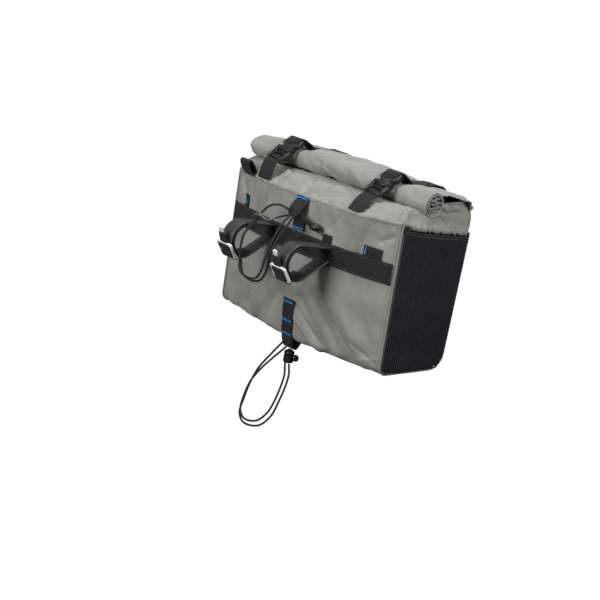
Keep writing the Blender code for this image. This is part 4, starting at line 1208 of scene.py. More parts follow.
def flap_path(x, start):
    """The flap at one station: over the mouth, down past the front rim, and its turned-up hem."""
    across = clamp(x / HALF, -1, 1)
    trim = smooth((abs(x) - FLAP_TRIM_FROM) / FLAP_TRIM_SPAN)
    gap = FLAP_GAP + CLOTH / 2
    lip = front_y(across, FRONT_RISE) + gap - 0.0115 * trim
    corner = lip - 0.008
    path = []
    for k in range(1, FLAP_STEPS + 1):
        t = k / FLAP_STEPS
        swell = (FLAP_CROWN * crown(across, 2) - pinch(x)) * math.sin(math.pi * t)
        path.append((blend(start[0], corner, t), blend(start[1], FLAP_RISE, t) + swell, 1.0))
    foot = FRONT_RISE - FLAP_LIP + 0.0045 * trim
    hem = front_y(across, foot) + gap - 0.0105 * trim
    bend = (
        (corner, FLAP_RISE),
        (lip - 0.0025, FLAP_RISE - 0.0018 + 0.0012 * trim),
        (lip, FLAP_RISE - 0.0050 + 0.0032 * trim),
        (hem, foot),
        (hem + 0.0012, foot - 0.0016),
        (hem + 0.0026, foot - 0.0006),
        (hem + 0.0026, foot + 0.0060 - 0.0035 * trim),
    )
    for a, b in zip(bend, bend[1:]):
        path += [(blend(a[0], b[0], k / 3), blend(a[1], b[1], k / 3), 0.5) for k in range(1, 4)]
    return path


def roll_crease(x, down):
    return sum(crease(row, x, down, 1.4) for row in ROLL_CREASES)


def roll():
    grid = []
    for i in range(ROLL_STEPS + 1):
        x = ROLL_LENGTH * (i / ROLL_STEPS - 0.5)
        short = LEFT_DRAW * smooth((-0.105 - x) / 0.045)
        grid.append([(x + short, y, z) for y, z, _ in roll_path(x)])
    free = [f for _, _, f in roll_path(0.0)]
    grid = np.array(grid)
    rows, columns = grid.shape[:2]
    normal = np.cross(np.gradient(grid, axis=1), np.gradient(grid, axis=0))
    normal /= np.linalg.norm(normal, axis=2, keepdims=True)
    around = lengths(grid[rows // 2])
    top = around[FLAP_START]
    for i in range(rows):
        x = grid[i, 0, 0]
        near = sum(bell((x - sign * CLOSURE_SPREAD) / 0.03) for sign in (-1, 1))
        for j in range(columns):
            s = around[j]
            push = roll_crease(x, top - s) + 0.0018 * ruffle(x * 18, s * 45, 2.0)
            push += 0.0010 * ruffle(x * 34 + s * 60, s * 55 - x * 18, 5.0)
            push -= 0.0016 * abs(ruffle(x * 42 - s * 50, s * 70 + x * 24, 9.0))
            push += 0.0003 * near * math.sin(x / 0.0022 + 3 * ruffle(s * 50, 0, 0))
            calm = smooth((abs(x) - 0.134) / 0.012) if j > columns - 22 else 0.0
            grid[i, j] += normal[i, j] * push * free[j] * (1 - calm)
    points = grid.reshape(-1, 3)
    uvs = [(p[0] + 0.2, around[k % columns] + 0.7) for k, p in enumerate(points)]
    faces = [tuple(reversed(f)) for f in grid_faces(rows, columns)]
    made = piece("roll_cloth", points, faces, NYLON, uvs, "roll_top", 70)
    thicken(made, CLOTH, 0)
    for x in ROLL_STITCH_PLACES:
        roll_stitches(x, grid, normal)


def roll_stitches(x, grid, normal):
    """A row of stitches round the outside of the roll and over the flap."""
    i = int(np.argmin(np.abs(grid[:, 0, 0] - x)))
    outs = normal[i, FLAP_START - SPIRAL_STEPS:-6]
    path = grid[i, FLAP_START - SPIRAL_STEPS:-6] + outs * (CLOTH / 2)

    def out(place):
        near = np.argmin(np.linalg.norm(path - np.array(place), axis=1))
        return Vector(outs[near])

    stitches(f"roll_stitches_{x * 1000:.0f}", path, GREY_THREAD, out)


def roll_strip():
    lean = Vector((0, math.cos(STIFFENER_LEAN), math.sin(STIFFENER_LEAN)))
    places = [ROLL_LENGTH * (k / 30 - 0.5) for k in range(31)]
    path = [(x, *roll_centre(x)) for x in places]
    ribbon("roll_strip", path, STIFFENER_WIDTH, STIFFENER_THICKNESS, PLASTIC, "roll_stiffener", lean, 0.005)


# The ends of the bag


def pocket_outline(sign):
    """The back and front edges of an end panel, as rows of height and place ahead."""
    outline = shell_outline(sign, POCKET_INSET)
    side = SHOULDER_STEPS + WALL_STEPS + CORNER_STEPS
    back = np.array([(z, y) for y, z in reversed(outline[: side + 1])])
    front = np.array([(z, y) for y, z in outline[side + BOTTOM_STEPS:]])
    return back, front


def edge_y(edge, z):
    """How far ahead one of the pocket's edges stands at a height."""
    return np.interp(z, edge[:, 0], edge[:, 1])


def pocket_top(y):
    return blend(POCKET_RISE_BACK, POCKET_RISE_FRONT, clamp((y - BAR_TO_BAG) / BAG_DEPTH))


def net(name, sign):
    """A pierced net: upright ribs of yarn, joined by finer cross bars a little behind them."""
    back, front = pocket_outline(sign)
    points, faces = [], []

    def place(y, z, lift):
        y = clamp(y, edge_y(back, z), edge_y(front, z))
        swell = 0.0022 * math.sin(math.pi * clamp((y - BAR_TO_BAG) / BAG_DEPTH))
        wave = 0.0011 * ruffle(y * 45, z * 35, 6)
        return end_x(y, z, sign) + sign * (lift + swell + wave), y, z

    def strip(line, width, upright, lift):
        first = len(points)
        for y, z in line:
            for side in (-0.5, 0.5):
                points.append(place(y + width * side * upright, z + width * side * (1 - upright), lift))
        for k in range(len(line) - 1):
            a = first + 2 * k
            faces.append((a, a + 1, a + 3, a + 2))

    floor = back[0, 0] + 0.0008
    count = round((BAG_DEPTH + 0.012) / NET_PITCH)
    for i in range(count):
        y = BAR_TO_BAG - 0.004 + (i + 0.5) * NET_PITCH
        top = pocket_top(y) - BINDING_HEIGHT + 0.002
        heights = np.linspace(floor, top, 56)
        inside = []
        for z in heights:
            if edge_y(back, z) + 0.0004 < y < edge_y(front, z) - 0.0004:
                inside.append((y + 0.0004 * ruffle(y * 200, z * 90, 1), z))
        if len(inside) > 2:
            strip(inside, NET_RIB, 1, RIB_LIFT)
    rows = round((POCKET_RISE_BACK - BINDING_HEIGHT - floor) / NET_ROW)
    for j in range(rows):
        z = floor + (j + 0.5) * NET_ROW
        ys = np.linspace(edge_y(back, z), edge_y(front, z), 40)
        ys = [y for y in ys if z < pocket_top(y) - BINDING_HEIGHT + 0.002]
        if len(ys) > 2:
            strip([(y, z) for y in ys], NET_STRAND, 0, STRAND_LIFT)
    made = piece(f"net_{name}", points, faces, NET, node=f"mesh_pocket_{name}")
    thicken(made, NET_THICKNESS, 0)
    hem(name, sign, back, front)
    # the sheet of painted shade that shows through the net's holes
    net_shade_sheet(name, sign, back, front)


def net_shade_sheet(name, sign, back, front):
    """Painted shade: a near-black sheet under the net, which shows through its holes in place of the shade
    inside the pocket.
    """
    grid = []
    for i in range(25):
        row = []
        for j in range(41):
            share = j / 40
            rear = blend(back[0, 0], POCKET_RISE_BACK - 0.004, share)
            ahead = blend(back[0, 0], POCKET_RISE_FRONT - 0.004, share)
            z = blend(rear, ahead, i / 24)
            y = blend(edge_y(back, z), edge_y(front, z), i / 24)
            row.append((end_x(y, z, sign) + sign * 0.0005, y, z))
        grid.append(row)
    slab(f"net_painted_shade_{name}", facing(grid, sign), [1.0] * 41, SHADE_SHEET_THICKNESS, NET_SHADE, round_ends=False)


def hem(name, sign, back, front):
    """The net's sewn edge, down the back, round the bottom and up the front."""
    top = POCKET_RISE_BACK - BINDING_HEIGHT
    line = [(z, y) for z, y in back[::-1] if z < top] + [(z, y) for z, y in front if z < top - 0.01]
    path = [(end_x(y, z, sign) + sign * 0.0012, y, z) for z, y in line]
    tube(f"net_hem_{name}", path[::2], HEM_RADIUS, DARK_THREAD, sides=8, step=0.004)


def mouth_span(sign):
    """How far ahead the pocket's mouth begins and ends."""
    back, front = pocket_outline(sign)
    return edge_y(back, POCKET_RISE_BACK), edge_y(front, POCKET_RISE_FRONT)


def facing(grid, sign):
    """The grid in the order that turns its faces out of this end."""
    return grid if sign > 0 else grid[::-1]


def binding(name, sign):
    """The elastic along the pocket's mouth, standing off the panel a little in the middle."""
    offsets = cross_stations(BINDING_HEIGHT, BINDING_THICKNESS, 8)
    first, last = mouth_span(sign)
    grid = []
    for i in range(61):
        y = blend(first, last, i / 60)
        row = []
        for offset, _ in offsets:
            z = pocket_top(y) - BINDING_HEIGHT / 2 + offset
            bow = 0.0012 * math.sin(math.pi * i / 60) + 0.0002 * math.sin(i * 1.3)
            row.append((end_x(y, z, sign) + sign * (BINDING_THICKNESS + bow), y, z))
        grid.append(row)
    shares = [share for _, share in offsets]
    slab(f"binding_{name}", grid, shares, BINDING_THICKNESS, ELASTIC, f"pocket_binding_{name}")


def gusset_roll(name, sign):
    """The gusset's cloth, puckered out over the top of the elastic."""
    first, last = mouth_span(sign)
    steps, high = 160, 0.0055
    grid = []
    for i in range(steps + 1):
        y = blend(first + 0.0035, last - 0.0035, i / steps)
        top = pocket_top(y) + high
        ends = smooth(min(i, steps - i) / 12)
        pucker = abs(math.sin(y / 0.0042 + 2.5 * ruffle(y * 70, 0, sign)))
        drop = 0.0008 + 0.0019 * pucker * ends
        row = []
        for k in range(9):
            t = k / 8
            z = top - t * (high + drop)
            lift = 0.0004 + (0.0026 + 0.0008 * pucker) * ends * math.sin(math.pi * min(1.0, 0.72 * t))
            row.append((end_x(y, top, sign) + sign * lift, y, z))
        grid.append(row)
    slab(f"gusset_roll_{name}", facing(grid, sign), [0.05, 0.5, *[1.0] * 7], CLOTH, NYLON, round_ends=False)


def piping(name, sign):
    """The welt round the end panel, in the bag's nylon, with a row of stitches beside it."""
    ride = (PIPING_RADIUS + 0.00036) * math.sqrt(0.5) - 0.3 * CORNER_RADIUS
    outline = shell_outline(sign, -ride)[SHOULDER_STEPS:-SHOULDER_STEPS]
    path = [(sign * (HALF + ride - gusset_inset(z)), y, z) for y, z in outline]
    tube(f"piping_{name}", path[::2], PIPING_RADIUS, NYLON, f"end_piping_{name}", 10, 0.003)
    beside = station_points(sign * (HALF - 0.0055))[SHOULDER_STEPS:-SHOULDER_STEPS]
    stitches(f"edge_stitches_{name}", beside, GREY_THREAD, outward)


def outward(place):
    """Roughly the way out of the bag at a place on its walls."""
    if place.z < BOTTOM + 0.006:
        return Vector((0, 0, -1))
    return Vector((0, -1 if place.y < BAR_TO_BAG + BAG_DEPTH / 2 else 1, 0))


# Webbing


def seams():
    """The lapped seam under the roll, with its stitches, and the short seams at the shoulder's ends."""
    offsets = [(-0.0080, 0.02), (-0.0050, 0.2), (-0.0022, 0.6), (-0.0006, 1.0), (0.0002, 1.0), (0.0006, 0.6)]
    grid = []
    for k in range(221):
        x = blend(-HALF + 0.0015, HALF - 0.0015, k / 220)
        z = seam_z(x / HALF)
        grid.append([off_wall(x, z + d, 0.0007 * share - 0.0002) for d, share in offsets])
    slab("seam_lap", grid, [share for _, share in offsets], 0.0011, NYLON)
    path = []
    for k in range(291):
        x = blend(-HALF + 0.004, HALF - 0.004, k / 290)
        path.append(off_wall(x, seam_z(x / HALF) - 0.0022, 0.0014))
    stitches("seam_stitches", path, GREY_THREAD, (0, -1, 0))
    for sign in (-1, 1):
        for x in (HALF - 0.0075, HALF - 0.0050):
            rise = station_points(sign * x)[3:SHOULDER_STEPS + 1]
            stitches(f"shoulder_stitches_{sign * x * 10000:.0f}", rise, GREY_THREAD, (0, -0.6, 0.8))


def mouth_fold(name, sign):
    """The mouth's end, tucked up between the roll and the flap."""
    rim = rim_point(sign * HALF)
    steps = 32
    grid = []
    for i in range(steps + 1):
        y = blend(rim[0] + 0.008, FRONT_Y - 0.004, i / steps)
        low = blend(rim[1] - 0.009, FRONT_RISE - 0.007, i / steps) + 0.012 * (1 - smooth(i / 9))
        high = FLAP_RISE - 0.0012 - 0.004 * bell(i / steps / 0.12)
        row = []
        for j in range(15):
            t = j / 14
            fold = 0.0014 * math.sin(3.0 * t * math.pi + i * 0.16) * math.sin(math.pi * t)
            fold += 0.0016 * ruffle(y * 90, t * 2.5, sign * 3)
            z = blend(low, high, t)
            x = abs(end_x(y, min(z, low + 0.007), sign)) + 0.0007 + 0.0014 * t + fold * smooth(t / 0.5)
            row.append((sign * x, y, z))
        grid.append(row)
    shares = [0.02, 0.3, 0.7, *[1.0] * 12]
    slab(f"mouth_fold_{name}", facing(grid, sign), shares, CLOTH, NYLON, round_ends=False)


def band():
    laid("band", BAND_BOTTOM + BAND_HEIGHT / 2, -HALF + 0.003, HALF - 0.003, BAND_HEIGHT, WEBBING,
         node="bar_webbing", upright=False)
    for edge in (0.0022, BAND_HEIGHT - 0.0022):
        places = np.linspace(-HALF + 0.005, HALF - 0.005, 240)
        path = [off_wall(x, BAND_BOTTOM + edge, SEWN_FACE) for x in places]
        stitches(f"band_stitches_{edge * 10000:.0f}", path, DARK_THREAD, (0, -1, 0))


def tabs():
    base = BAND_BOTTOM + BAND_HEIGHT + 0.0003
    for tab in TABS:
        x, width, height, thickness = (tab[key] for key in ("across", "width", "height", "thickness"))
        laid(tab["name"][8:], x, base, base + height, width, thickness, node=tab["name"])
    left, _, right = TABS
    place = off_wall(left["across"], base + 0.5 * left["height"], REST + left["thickness"])
    for lean in (-1, 1):
        run, beside = (lean * 0.5, 0, 1), (1, 0, -lean * 0.5)
        bartack(f"tab_cross_{lean}", place, run, beside, (0, -1, 0), 0.011, 0.0014)
    x = right["across"] - right["width"] / 2 + 0.004
    place = off_wall(x, base + 0.5 * right["height"], REST + right["thickness"])
    bartack("tab_bar", place, (0, 0, 1), (1, 0, 0), (0, -1, 0), 0.009, 0.0018)


def grab_loop():
    length = GRAB_LENGTH
    base = Vector(off_wall(GRAB_PLACE, seam_z(GRAB_PLACE / HALF) + 0.0015, 0.0012))
    lean = Vector((-0.20, -0.42, 0.88)).normalized()
    gap = Vector((0, -0.88, -0.42)).normalized() * GRAB_GAP
    path = [base, base + lean * length * 0.5 - gap * 0.3, base + lean * length]
    path += [base + lean * (length + 0.0012) + gap * 0.7]
    path += [base + lean * length + gap * 1.5, base + lean * length * 0.5 + gap * 1.9, base + gap * 1.4]
    ribbon("grab_loop", path, GRAB_WIDTH, GRAB_THICKNESS, WEBBED, "grab_tab", step=0.001)


def centre_tack(name, z, width):
    """A short bar of close stitches across the middle webbing."""
    place = off_wall(0, z, SEWN_FACE)
    bartack(f"daisy_tack_{name}", place, (1, 0, 0), (0, 0, 1), (0, -1, 0), width * 0.86, 0.0019)


def daisy():
    lift = REST + WEBBING / 2
    upper = (
        (0.00, 0.0), (0.10, 0.0), (0.30, 0.75), (0.45, 1.0),
        (0.58, 0.85), (0.68, 0.2), (0.74, 0.0), (1.0, 0.0),
    )
    path = []
    for share, bow in upper:
        path.append(off_wall(0, blend(UPPER_TOP, UPPER_BOTTOM, share), lift + bow * UPPER_BOW))
    ribbon("daisy_upper", path, CENTRE_WIDTH, WEBBING, WEBBED, "centre_webbing_upper", ripple=0.0002)
    for z, name in ((UPPER_TOP - 0.0022, "top"), (UPPER_BOTTOM + 0.0025, "foot")):
        centre_tack(name, z, CENTRE_WIDTH)
    width = CENTRE_WIDTH * 0.9
    path = [off_wall(0, blend(LOWER_TOP, BOTTOM + 0.003, k / 10), lift) for k in range(11)]
    foot, floor = path[-1][1], bottom_z(0) - lift
    loop = ((0.003, 0.3), (0.007, 1.0), (0.012, 1.0), (0.017, 0.3), (0.024, 0.0), (0.040, 0.0))
    path += [(0, foot + ahead, floor - hang * LOWER_HANG) for ahead, hang in loop]
    ribbon("daisy_lower", path, width, WEBBING, WEBBED, "centre_webbing_lower")
    for z in (-0.066, -0.089, -0.1055):
        centre_tack(f"{-z * 1000:.0f}", z, width)


# Closures


def buckle_frame(x):
    """Where a buckle rests on the roll: its origin, tilt and reach."""
    ahead, rise = roll_centre(x)
    outward_y, outward_z = -math.sin(BUCKLE_TILT), math.cos(BUCKLE_TILT)
    reach = 0.0
    for share in (-0.55, -0.3, 0.0, 0.3, 0.55):
        beside = x + BUCKLE_WIDTH * share
        y, z = roll_centre(beside)
        bulge = (y - ahead) * outward_y + (z - rise) * outward_z + roll_radius(beside)
        reach = max(reach, bulge + 0.0006 + BUCKLE_THICKNESS / 2)
    shift = BUCKLE_SHIFT - BUCKLE_LENGTH / 2
    y = ahead + outward_y * reach + shift * math.cos(BUCKLE_TILT)
    z = rise + outward_z * reach + shift * math.sin(BUCKLE_TILT)
    return Matrix.Translation((x, y, z)) @ Matrix.Rotation(BUCKLE_TILT, 4, "X")


def plate(name, outline, holes, thickness, rounding, look, place, node=None):
    """A moulded plate: a flat outline with holes, thick, with rounded edges."""
    curve = bpy.data.curves.new(name, "CURVE")
    curve.dimensions = "2D"
    curve.fill_mode = "BOTH"
    curve.extrude = thickness / 2 - rounding
    curve.bevel_depth = rounding
    curve.bevel_resolution = 2
    curve.offset = -rounding
    for ring in (outline, *holes):
        spline = curve.splines.new("POLY")
        spline.points.add(len(ring) - 1)
        for point, (x, y) in zip(spline.points, ring):
            point.co = (x, y, 0, 1)
        spline.use_cyclic_u = True
    made = shown(name, curve)
    bpy.context.view_layer.update()
    mesh = bpy.data.meshes.new_from_object(made.evaluated_get(bpy.context.evaluated_depsgraph_get()))
    bpy.data.objects.remove(made)
    mesh.transform(place)
    mesh.materials.clear()
    mesh.materials.append(look)
    mesh.shade_smooth()
    mesh.set_sharp_from_angle(angle=math.radians(35))
    solid = shown(name, mesh)
    mend(solid)
    return adopt(solid, node)


def rounded(width, length, radius, centre=(0.0, 0.0)):
    """A rounded rectangle as a ring of points."""
    ring = []
    for sx, sy, start in ((1, 1, 0), (-1, 1, 90), (-1, -1, 180), (1, -1, 270)):
        for k in range(6):
            angle = math.radians(start + 18 * k)
            x = sx * (width / 2 - radius) + radius * math.cos(angle)
            y = sy * (length / 2 - radius) + radius * math.sin(angle)
            ring.append((centre[0] + x, centre[1] + y))
    return ring


def mirrored(half_outline):
    """A closed ring from its right half, given from the bottom up."""
    return [*half_outline, *((-x, y) for x, y in reversed(half_outline))]


def boxes(name, centres, size, look, place):
    """Small equal blocks in one piece, such as grip ribs."""
    shape = bmesh.new()
    for centre in centres:
        turn = Matrix.Translation(centre) @ Matrix.Diagonal((*size, 1))
        bmesh.ops.create_cube(shape, size=1, matrix=place @ turn)
    mesh = bpy.data.meshes.new(name)
    shape.to_mesh(mesh)
    shape.free()
    mesh.materials.append(look)
    return adopt(shown(name, mesh))


def buckle(name, frame_at):
    """A side-release buckle, fastened: the plug's prongs stand out on both sides of the socket's waist."""
    half = BUCKLE_WIDTH / 2
    plug = mirrored([
        (half - 0.0045, 0.0), (half - 0.0018, 0.0010), (half - 0.0003, 0.0035),
        (half, 0.0065), (half, 0.0120),
        (half + 0.0003, 0.0165), (half - 0.0002, 0.0205), (half - 0.0012, 0.0240), (half - 0.0030, 0.0252),
        (half - 0.0045, 0.0242), (half - 0.0042, 0.0205), (half - 0.0047, 0.0165), (half - 0.0064, 0.0138),
        (0.0050, 0.0130), (0.0044, 0.0150),
    ])
    slots = [rounded(BUCKLE_WIDTH - 0.0085, 0.0074, 0.0026, (0, 0.0064))[::-1]]
    node = f"buckle_plug_{name}"
    plate(f"plug_{name}", plug, slots, BUCKLE_THICKNESS * 0.80, 0.0017, PLASTIC, frame_at, node)
    end = BUCKLE_LENGTH
    socket = mirrored([
        (0.0070, 0.0158), (half - 0.0068, 0.0176), (half - 0.0058, 0.0215), (half - 0.0054, 0.0254),
        (half - 0.0036, 0.0276), (half - 0.0008, 0.0286), (half, 0.0305), (half, end - 0.0025),
        (half - 0.0022, end),
    ])
    windows = [rounded(0.0090, 0.0022, 0.0009, (-0.0030, end - 0.0122))[::-1]]
    node = f"buckle_socket_{name}"
    plate(f"socket_{name}", socket, windows, BUCKLE_THICKNESS, 0.0015, PLASTIC, frame_at, node)
    over = frame_at @ Matrix.Translation((0, end - 0.0036, 0.0004))
    plate(f"strap_over_{name}", rounded(CLOSURE_WIDTH - 0.001, 0.0105, 0.0020), [],
          BUCKLE_THICKNESS + 0.0022, 0.0018, WEBBED, over)
    through = frame_at @ Matrix.Translation((0, 0.0030, -0.0014))
    plate(f"strap_through_{name}", rounded(BUCKLE_WIDTH - 0.0075, 0.0145, 0.0020), [],
          0.0018, 0.0006, WEBBED, through)
    raised = frame_at @ Matrix.Translation((0, 0.0228, BUCKLE_THICKNESS / 2 + 0.0001))
    crest = mirrored([(0.0074, -0.0056), (0.0052, 0.0), (0.0080, 0.0052)])
    plate(f"socket_panel_{name}", crest, [], 0.0012, 0.0004, PLASTIC, raised)
    ribs = [(side * (half - 0.0018), 0.0160 + 0.0016 * k, 0.0) for side in (-1, 1) for k in range(5)]
    boxes(f"grip_ribs_{name}", ribs, (0.0042, 0.0007, BUCKLE_THICKNESS * 0.86), PLASTIC, frame_at)


def closure(name, sign):
    x = sign * CLOSURE_SPREAD
    place = buckle_frame(x)
    lower = [place @ Vector((0, run, 0)) for run in (-0.0035, 0.0022)]
    foot = Vector(off_wall(x, seam_z(x / HALF) + 0.001, SEWN_FACE))
    path = [foot, foot.lerp(lower[0], 0.5) + Vector((0, -0.0012, 0.001)), *lower]
    node = f"closure_webbing_{name}"
    ribbon(f"closure_foot_{name}", path, CLOSURE_WIDTH * 0.92, WEBBING, WEBBED, node, ripple=0.0002)
    buckle(name, place)
    path = [place @ Vector((0, BUCKLE_LENGTH + run, 0.0005)) for run in (-0.0016, 0.004)]
    lift = CLOTH / 2 + 0.0021 + WEBBING / 2
    for y, z, _ in roll_path(x)[FLAP_START + FLAP_STEPS // 3:-9:3]:
        out = smooth((y - (FRONT_Y - 0.006)) / 0.012)
        path.append(Vector((x, y + out * lift, z + (1 - out) * lift)))
    below = FRONT_RISE - FLAP_LIP - 0.012
    for k in range(12):
        path.append(off_wall(x, blend(below, CLOSURE_END, k / 11), REST + WEBBING / 2, "front"))
    node = f"closure_strap_{name}"
    ribbon(f"closure_over_{name}", path, CLOSURE_WIDTH * 0.96, WEBBING, WEBBED, node, ripple=0.0003)
    tack = off_wall(x, CLOSURE_END + 0.004, SEWN_FACE, "front")
    bartack(f"closure_tack_{name}", tack, (1, 0, 0), (0, 0, 1), (0, 1, 0), CLOSURE_WIDTH * 0.8, 0.0018)


# Bar straps


def tangent_angle(y, z, radius, sign):
    """The angle at which a straight strap from (y, z) meets the circle round the bar."""
    return math.atan2(z, y) + sign * math.acos(radius / math.hypot(y, z))


def arc(x, radius, first, last, steps):
    angles = [blend(first, last, k / steps) for k in range(steps + 1)]
    return [(x, radius * math.cos(a), radius * math.sin(a)) for a in angles]


def bar_strap(name, sign):
    x = sign * STRAP_SPREAD
    seat = wall(x, BAND_BOTTOM + BAND_HEIGHT / 2) - REST - WEBBING
    first = tangent_angle(seat, STRAP_TOP_RISE, STRAP_RADIUS, 1)
    last = 2 * math.pi + tangent_angle(seat, STRAP_FOOT_RISE, STRAP_RADIUS, -1)
    path = [(x, seat, STRAP_TOP_RISE), *arc(x, STRAP_RADIUS, first, last, 40), (x, seat, STRAP_FOOT_RISE)]
    ribbon(f"strap_{name}", path, STRAP_WIDTH, STRAP_THICKNESS, RUBBER, f"bar_strap_{name}")
    pad_radius = BAR_RADIUS + 0.0004 + PAD_THICKNESS / 2
    pad = arc(x, pad_radius, math.radians(55), math.radians(305), 60)
    ribbon(f"pad_{name}", pad, STRAP_WIDTH + 0.002, PAD_THICKNESS, PAD, f"bar_pad_{name}")
    strap_hardware(name, x)


def strap_hardware(name, x):
    """The pale frame on a bar strap, the strap's fold through it, its tail and the tail's tip."""
    out = Matrix.Rotation(FRAME_ANGLE - math.pi / 2, 4, "X")
    outer = STRAP_RADIUS + STRAP_THICKNESS / 2 + 0.0003
    seat = math.sqrt(outer ** 2 - (FRAME_LENGTH / 2 - FRAME_SIDE) ** 2)
    reach = seat + FRAME_THICKNESS / 2
    place = Matrix.Translation((x, 0, 0)) @ out @ Matrix.Translation((0, 0, reach))
    hole = rounded(FRAME_WIDTH - 2 * FRAME_SIDE, FRAME_LENGTH - 2 * FRAME_SIDE, 0.0012)[::-1]
    outline, node = rounded(FRAME_WIDTH, FRAME_LENGTH, 0.0028), f"bar_strap_buckle_{name}"
    plate(f"frame_{name}", outline, [hole], FRAME_THICKNESS, 0.0008, PALE, place, node)
    over = [(-0.0145, -0.0026), (-0.0095, 0.0016), (-0.0050, 0.0022), (0.0, 0.0012)]
    over += [(0.0050, 0.0022), (0.0098, 0.0016)]
    over = [place @ Vector((0, run, rise)) for run, rise in over]
    ribbon(f"strap_fold_{name}", over, STRAP_WIDTH - 0.001, STRAP_THICKNESS * 0.8, RUBBER, step=0.001)
    start = place @ Vector((0, FRAME_LENGTH / 2 + 0.0003, 0))
    down = (place.to_3x3() @ Vector((0, 1, -0.15))).normalized()
    down = (down + Vector((0, 0.25, -0.45))).normalized()
    end = start + down * TAIL_LENGTH
    path, node = [start, start.lerp(end, 0.5), end], f"bar_strap_tail_{name}"
    ribbon(f"tail_{name}", path, TAIL_WIDTH, STRAP_THICKNESS, RUBBER, node)
    tip = Matrix.Translation(start + down * (TAIL_LENGTH + TIP_LENGTH / 2))
    side = Vector((1, 0, 0))
    turn = Matrix((side, down, side.cross(down))).transposed().to_4x4()
    outline, node = rounded(TIP_WIDTH, TIP_LENGTH, 0.0020), f"bar_strap_tip_{name}"
    plate(f"tip_{name}", outline, [], TIP_THICKNESS, 0.0006, PALE, tip @ turn, node)


# Cords


def free_cord(name, route, node):
    """A cord: a braided tube along its route."""
    path = fine_path(route, 0.0018)
    made = tube(name, path, CORD / 2, CORD_LOOK, node, step=0, round_ends=False)


def twisted(name, route, node):
    """Two thin strands wound round each other along a short route."""
    path = fine_path(route, 0.0008)
    distance = lengths(path)
    strands = []
    for phase in (0.0, math.pi):
        line = []
        for k, place in enumerate(path):
            run = (path[min(k + 1, len(path) - 1)] - path[max(k - 1, 0)]).normalized()
            first = run.orthogonal().normalized()
            turn = Matrix.Rotation(distance[k] / TWIST * 2 * math.pi + phase, 3, run)
            line.append(place + turn @ first * CORD * 0.25)
        strands.append(tube(f"{name}_{len(strands)}", line, CORD * 0.27, CORD_LOOK, None, 8, 0))
    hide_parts(node)


def ellipsoid(name, size, place, look, node):
    """A moulded knob, a little fuller than an ellipsoid, with a faint groove round its middle."""
    shape = bmesh.new()
    bmesh.ops.create_uvsphere(shape, u_segments=40, v_segments=24, radius=0.5)
    for vert in shape.verts:
        co = vert.co
        flat = math.copysign(abs(co.z * 2) ** 0.85, co.z) / 2
        groove = 1 - 0.03 * bell(co.z / 0.02)
        vert.co = Vector((co.x * groove * size[0], co.y * groove * size[1], flat * size[2])) + place
    mesh = bpy.data.meshes.new(name)
    shape.to_mesh(mesh)
    shape.free()
    mesh.materials.append(look)
    mesh.shade_smooth()
    return adopt(shown(name, mesh), node)


def turned(name, profile, place, look, node):
    """A solid of revolution about the vertical through a place; profile is (radius, height)."""
    points, faces, sides = [], [], 40
    for k in range(sides):
        angle = 2 * math.pi * k / sides
        points += [place + Vector((r * math.cos(angle), r * math.sin(angle), h)) for r, h in profile]
    count = len(profile)
    for k in range(sides):
        for j in range(count - 1):
            a, b = k * count + j, (k + 1) % sides * count + j
            faces.append((a, b, b + 1, a + 1))
    made = piece(name, points, faces, look, node=node)
    mend(made)
    return made


def cord_lock():
    shape = (
        (0.0, 0.50), (0.40, 0.50), (0.46, 0.42), (0.60, 0.42), (0.78, 0.40), (0.94, 0.33), (1.0, 0.24),
        (0.96, 0.16), (0.90, 0.12), (0.90, 0.06), (0.97, 0.03), (0.97, -0.16), (0.90, -0.19), (0.90, -0.24),
        (1.0, -0.28), (0.98, -0.38), (0.84, -0.46), (0.55, -0.5), (0.0, -0.5),
    )
    profile = [(LOCK_RADIUS * r, LOCK_LENGTH * h) for r, h in shape]
    lock = turned("lock", profile, LOCK_PLACE, PLASTIC, "cord_lock")
    ball = ellipsoid("lock_ball", (2 * BALL_RADIUS,) * 3, BALL_PLACE, GLOSS, "cord_end_ball")
    return lock, ball


def cords():
    lock, ball = cord_lock()
    hook = tube("hook", HOOK_LINE, HOOK_WIRE / 2, HOOK, "bungee_hook", sides=16, step=0.0012)
    free_cord("stem_loop_rear", STEM_CORD_REAR, "stem_cord_rear")
    free_cord("stem_loop_front", STEM_CORD_FRONT, "stem_cord_front")
    free_cord("hook_loop", HOOK_CORD, "hook_cord")
    twisted("hook_twist", HOOK_STRAND, "hook_strand")
    free_cord("head_loop_outer", HEAD_CORD_OUTER, "head_cord_outer")
    free_cord("head_loop_inner", HEAD_CORD_INNER, "head_cord_inner")
    ribbon("pull_tape", PULL_STRIP, TAPE_WIDTH, TAPE_THICKNESS, WEBBED, "pull_strip", (0.3, 0, 1), 0.0012)
    ellipsoid("knob", KNOB_SIZE, KNOB_PLACE, GLOSS, "bungee_knob")


# Camera and lights


def camera():
    data = bpy.data.cameras.new("camera")
    data.lens = CAMERA_LENS
    data.sensor_width = CAMERA_SENSOR
    data.clip_start, data.clip_end = 0.05, 60
    data.dof.use_dof = False
    made = shown("camera", data)
    back = CAMERA_RIGHT.cross(CAMERA_UP).normalized()
    up = back.cross(CAMERA_RIGHT).normalized()
    turn = Matrix((CAMERA_RIGHT.normalized(), up, back)).transposed().to_4x4()
    made.matrix_world = Matrix.Translation(CAMERA_PLACE) @ turn
    bpy.context.scene.camera = made


def area_light(name, place, size, power):
    data = bpy.data.lights.new(name, "AREA")
    data.shape = "DISK"
    data.size = size
    data.energy = power
    made = shown(name, data)
    made.location = place
    target = Vector((0, 0.08, 0))
    made.rotation_euler = (target - Vector(place)).to_track_quat("-Z", "Y").to_euler()


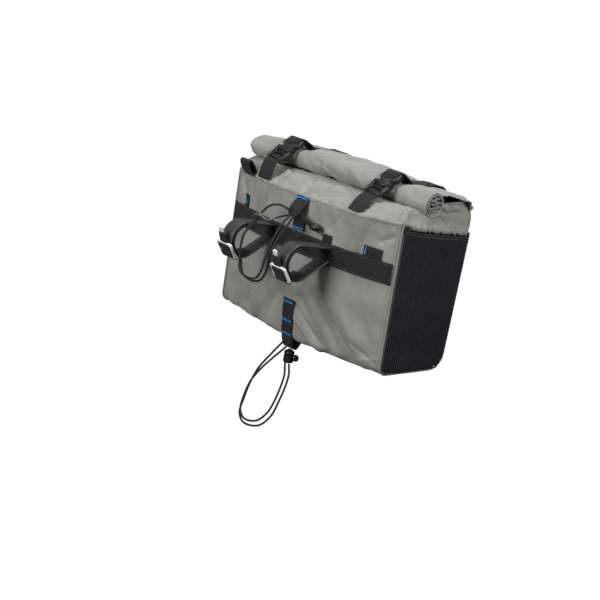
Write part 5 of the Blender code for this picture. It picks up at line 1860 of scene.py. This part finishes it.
def card(name, corners, look):
    """A flat studio card, which lights or shades the bag and isn't part of it."""
    mesh = bpy.data.meshes.new(name)
    mesh.from_pydata([tuple(c) for c in corners], [], [(0, 1, 2, 3)])
    mesh.materials.append(look)
    shown(name, mesh)


def studio():
    """Light from above, softer front and rim lights, and a white card behind.

    The surround darkens downwards, so the undersides are in shade.
    """
    scene = bpy.context.scene
    scene.view_settings.view_transform = "Standard"
    world = bpy.data.worlds.new("studio")
    world.use_nodes = True
    tree = world.node_tree
    place = tree.nodes.new("ShaderNodeTexCoord").outputs["Generated"]
    parts = tree.nodes.new("ShaderNodeSeparateXYZ")
    tree.links.new(place, parts.inputs["Vector"])
    height = tree.nodes.new("ShaderNodeMapRange")
    for name, value in (("From Min", -0.5), ("From Max", 0.6), ("To Min", 0.02), ("To Max", 0.34)):
        height.inputs[name].default_value = value
    tree.links.new(parts.outputs["Z"], height.inputs["Value"])
    tree.links.new(height.outputs["Result"], tree.nodes["Background"].inputs["Strength"])
    tree.nodes["Background"].inputs["Color"].default_value = (1, 1, 1, 1)
    scene.world = world
    area_light("key", (-0.4, 0.3, 2.1), 0.8, 20)
    area_light("front", (-0.25, -2.2, 0.95), 1.2, 56)
    area_light("rim", (1.8, 0.1, 1.1), 0.9, 30)
    white = plain_look("white_card", (0, 0, 0), 1.0)
    shader = white.node_tree.nodes["Principled BSDF"]
    shader.inputs["Emission Color"].default_value = (1, 1, 1, 1)
    shader.inputs["Emission Strength"].default_value = CARD_GLOW
    shader.inputs["Specular IOR Level"].default_value = 0.0
    view = scene.camera.matrix_world
    signs = ((-1, -1), (1, -1), (1, 1), (-1, 1))
    corners = [view @ Vector((x * CARD_HALF, y * CARD_HALF, -CARD_AWAY)) for x, y in signs]
    card("white_card", corners, white)


camera()
cords()
shell()
roll()
roll_strip()
seams()
band()
tabs()
grab_loop()
daisy()
for side_name, side_sign in (("left", -1), ("right", 1)):
    net(side_name, side_sign)
    binding(side_name, side_sign)
    piping(side_name, side_sign)
    gusset_roll(side_name, side_sign)
    closure(side_name, side_sign)
    bar_strap(side_name, side_sign)
    mouth_fold(side_name, side_sign)
studio()
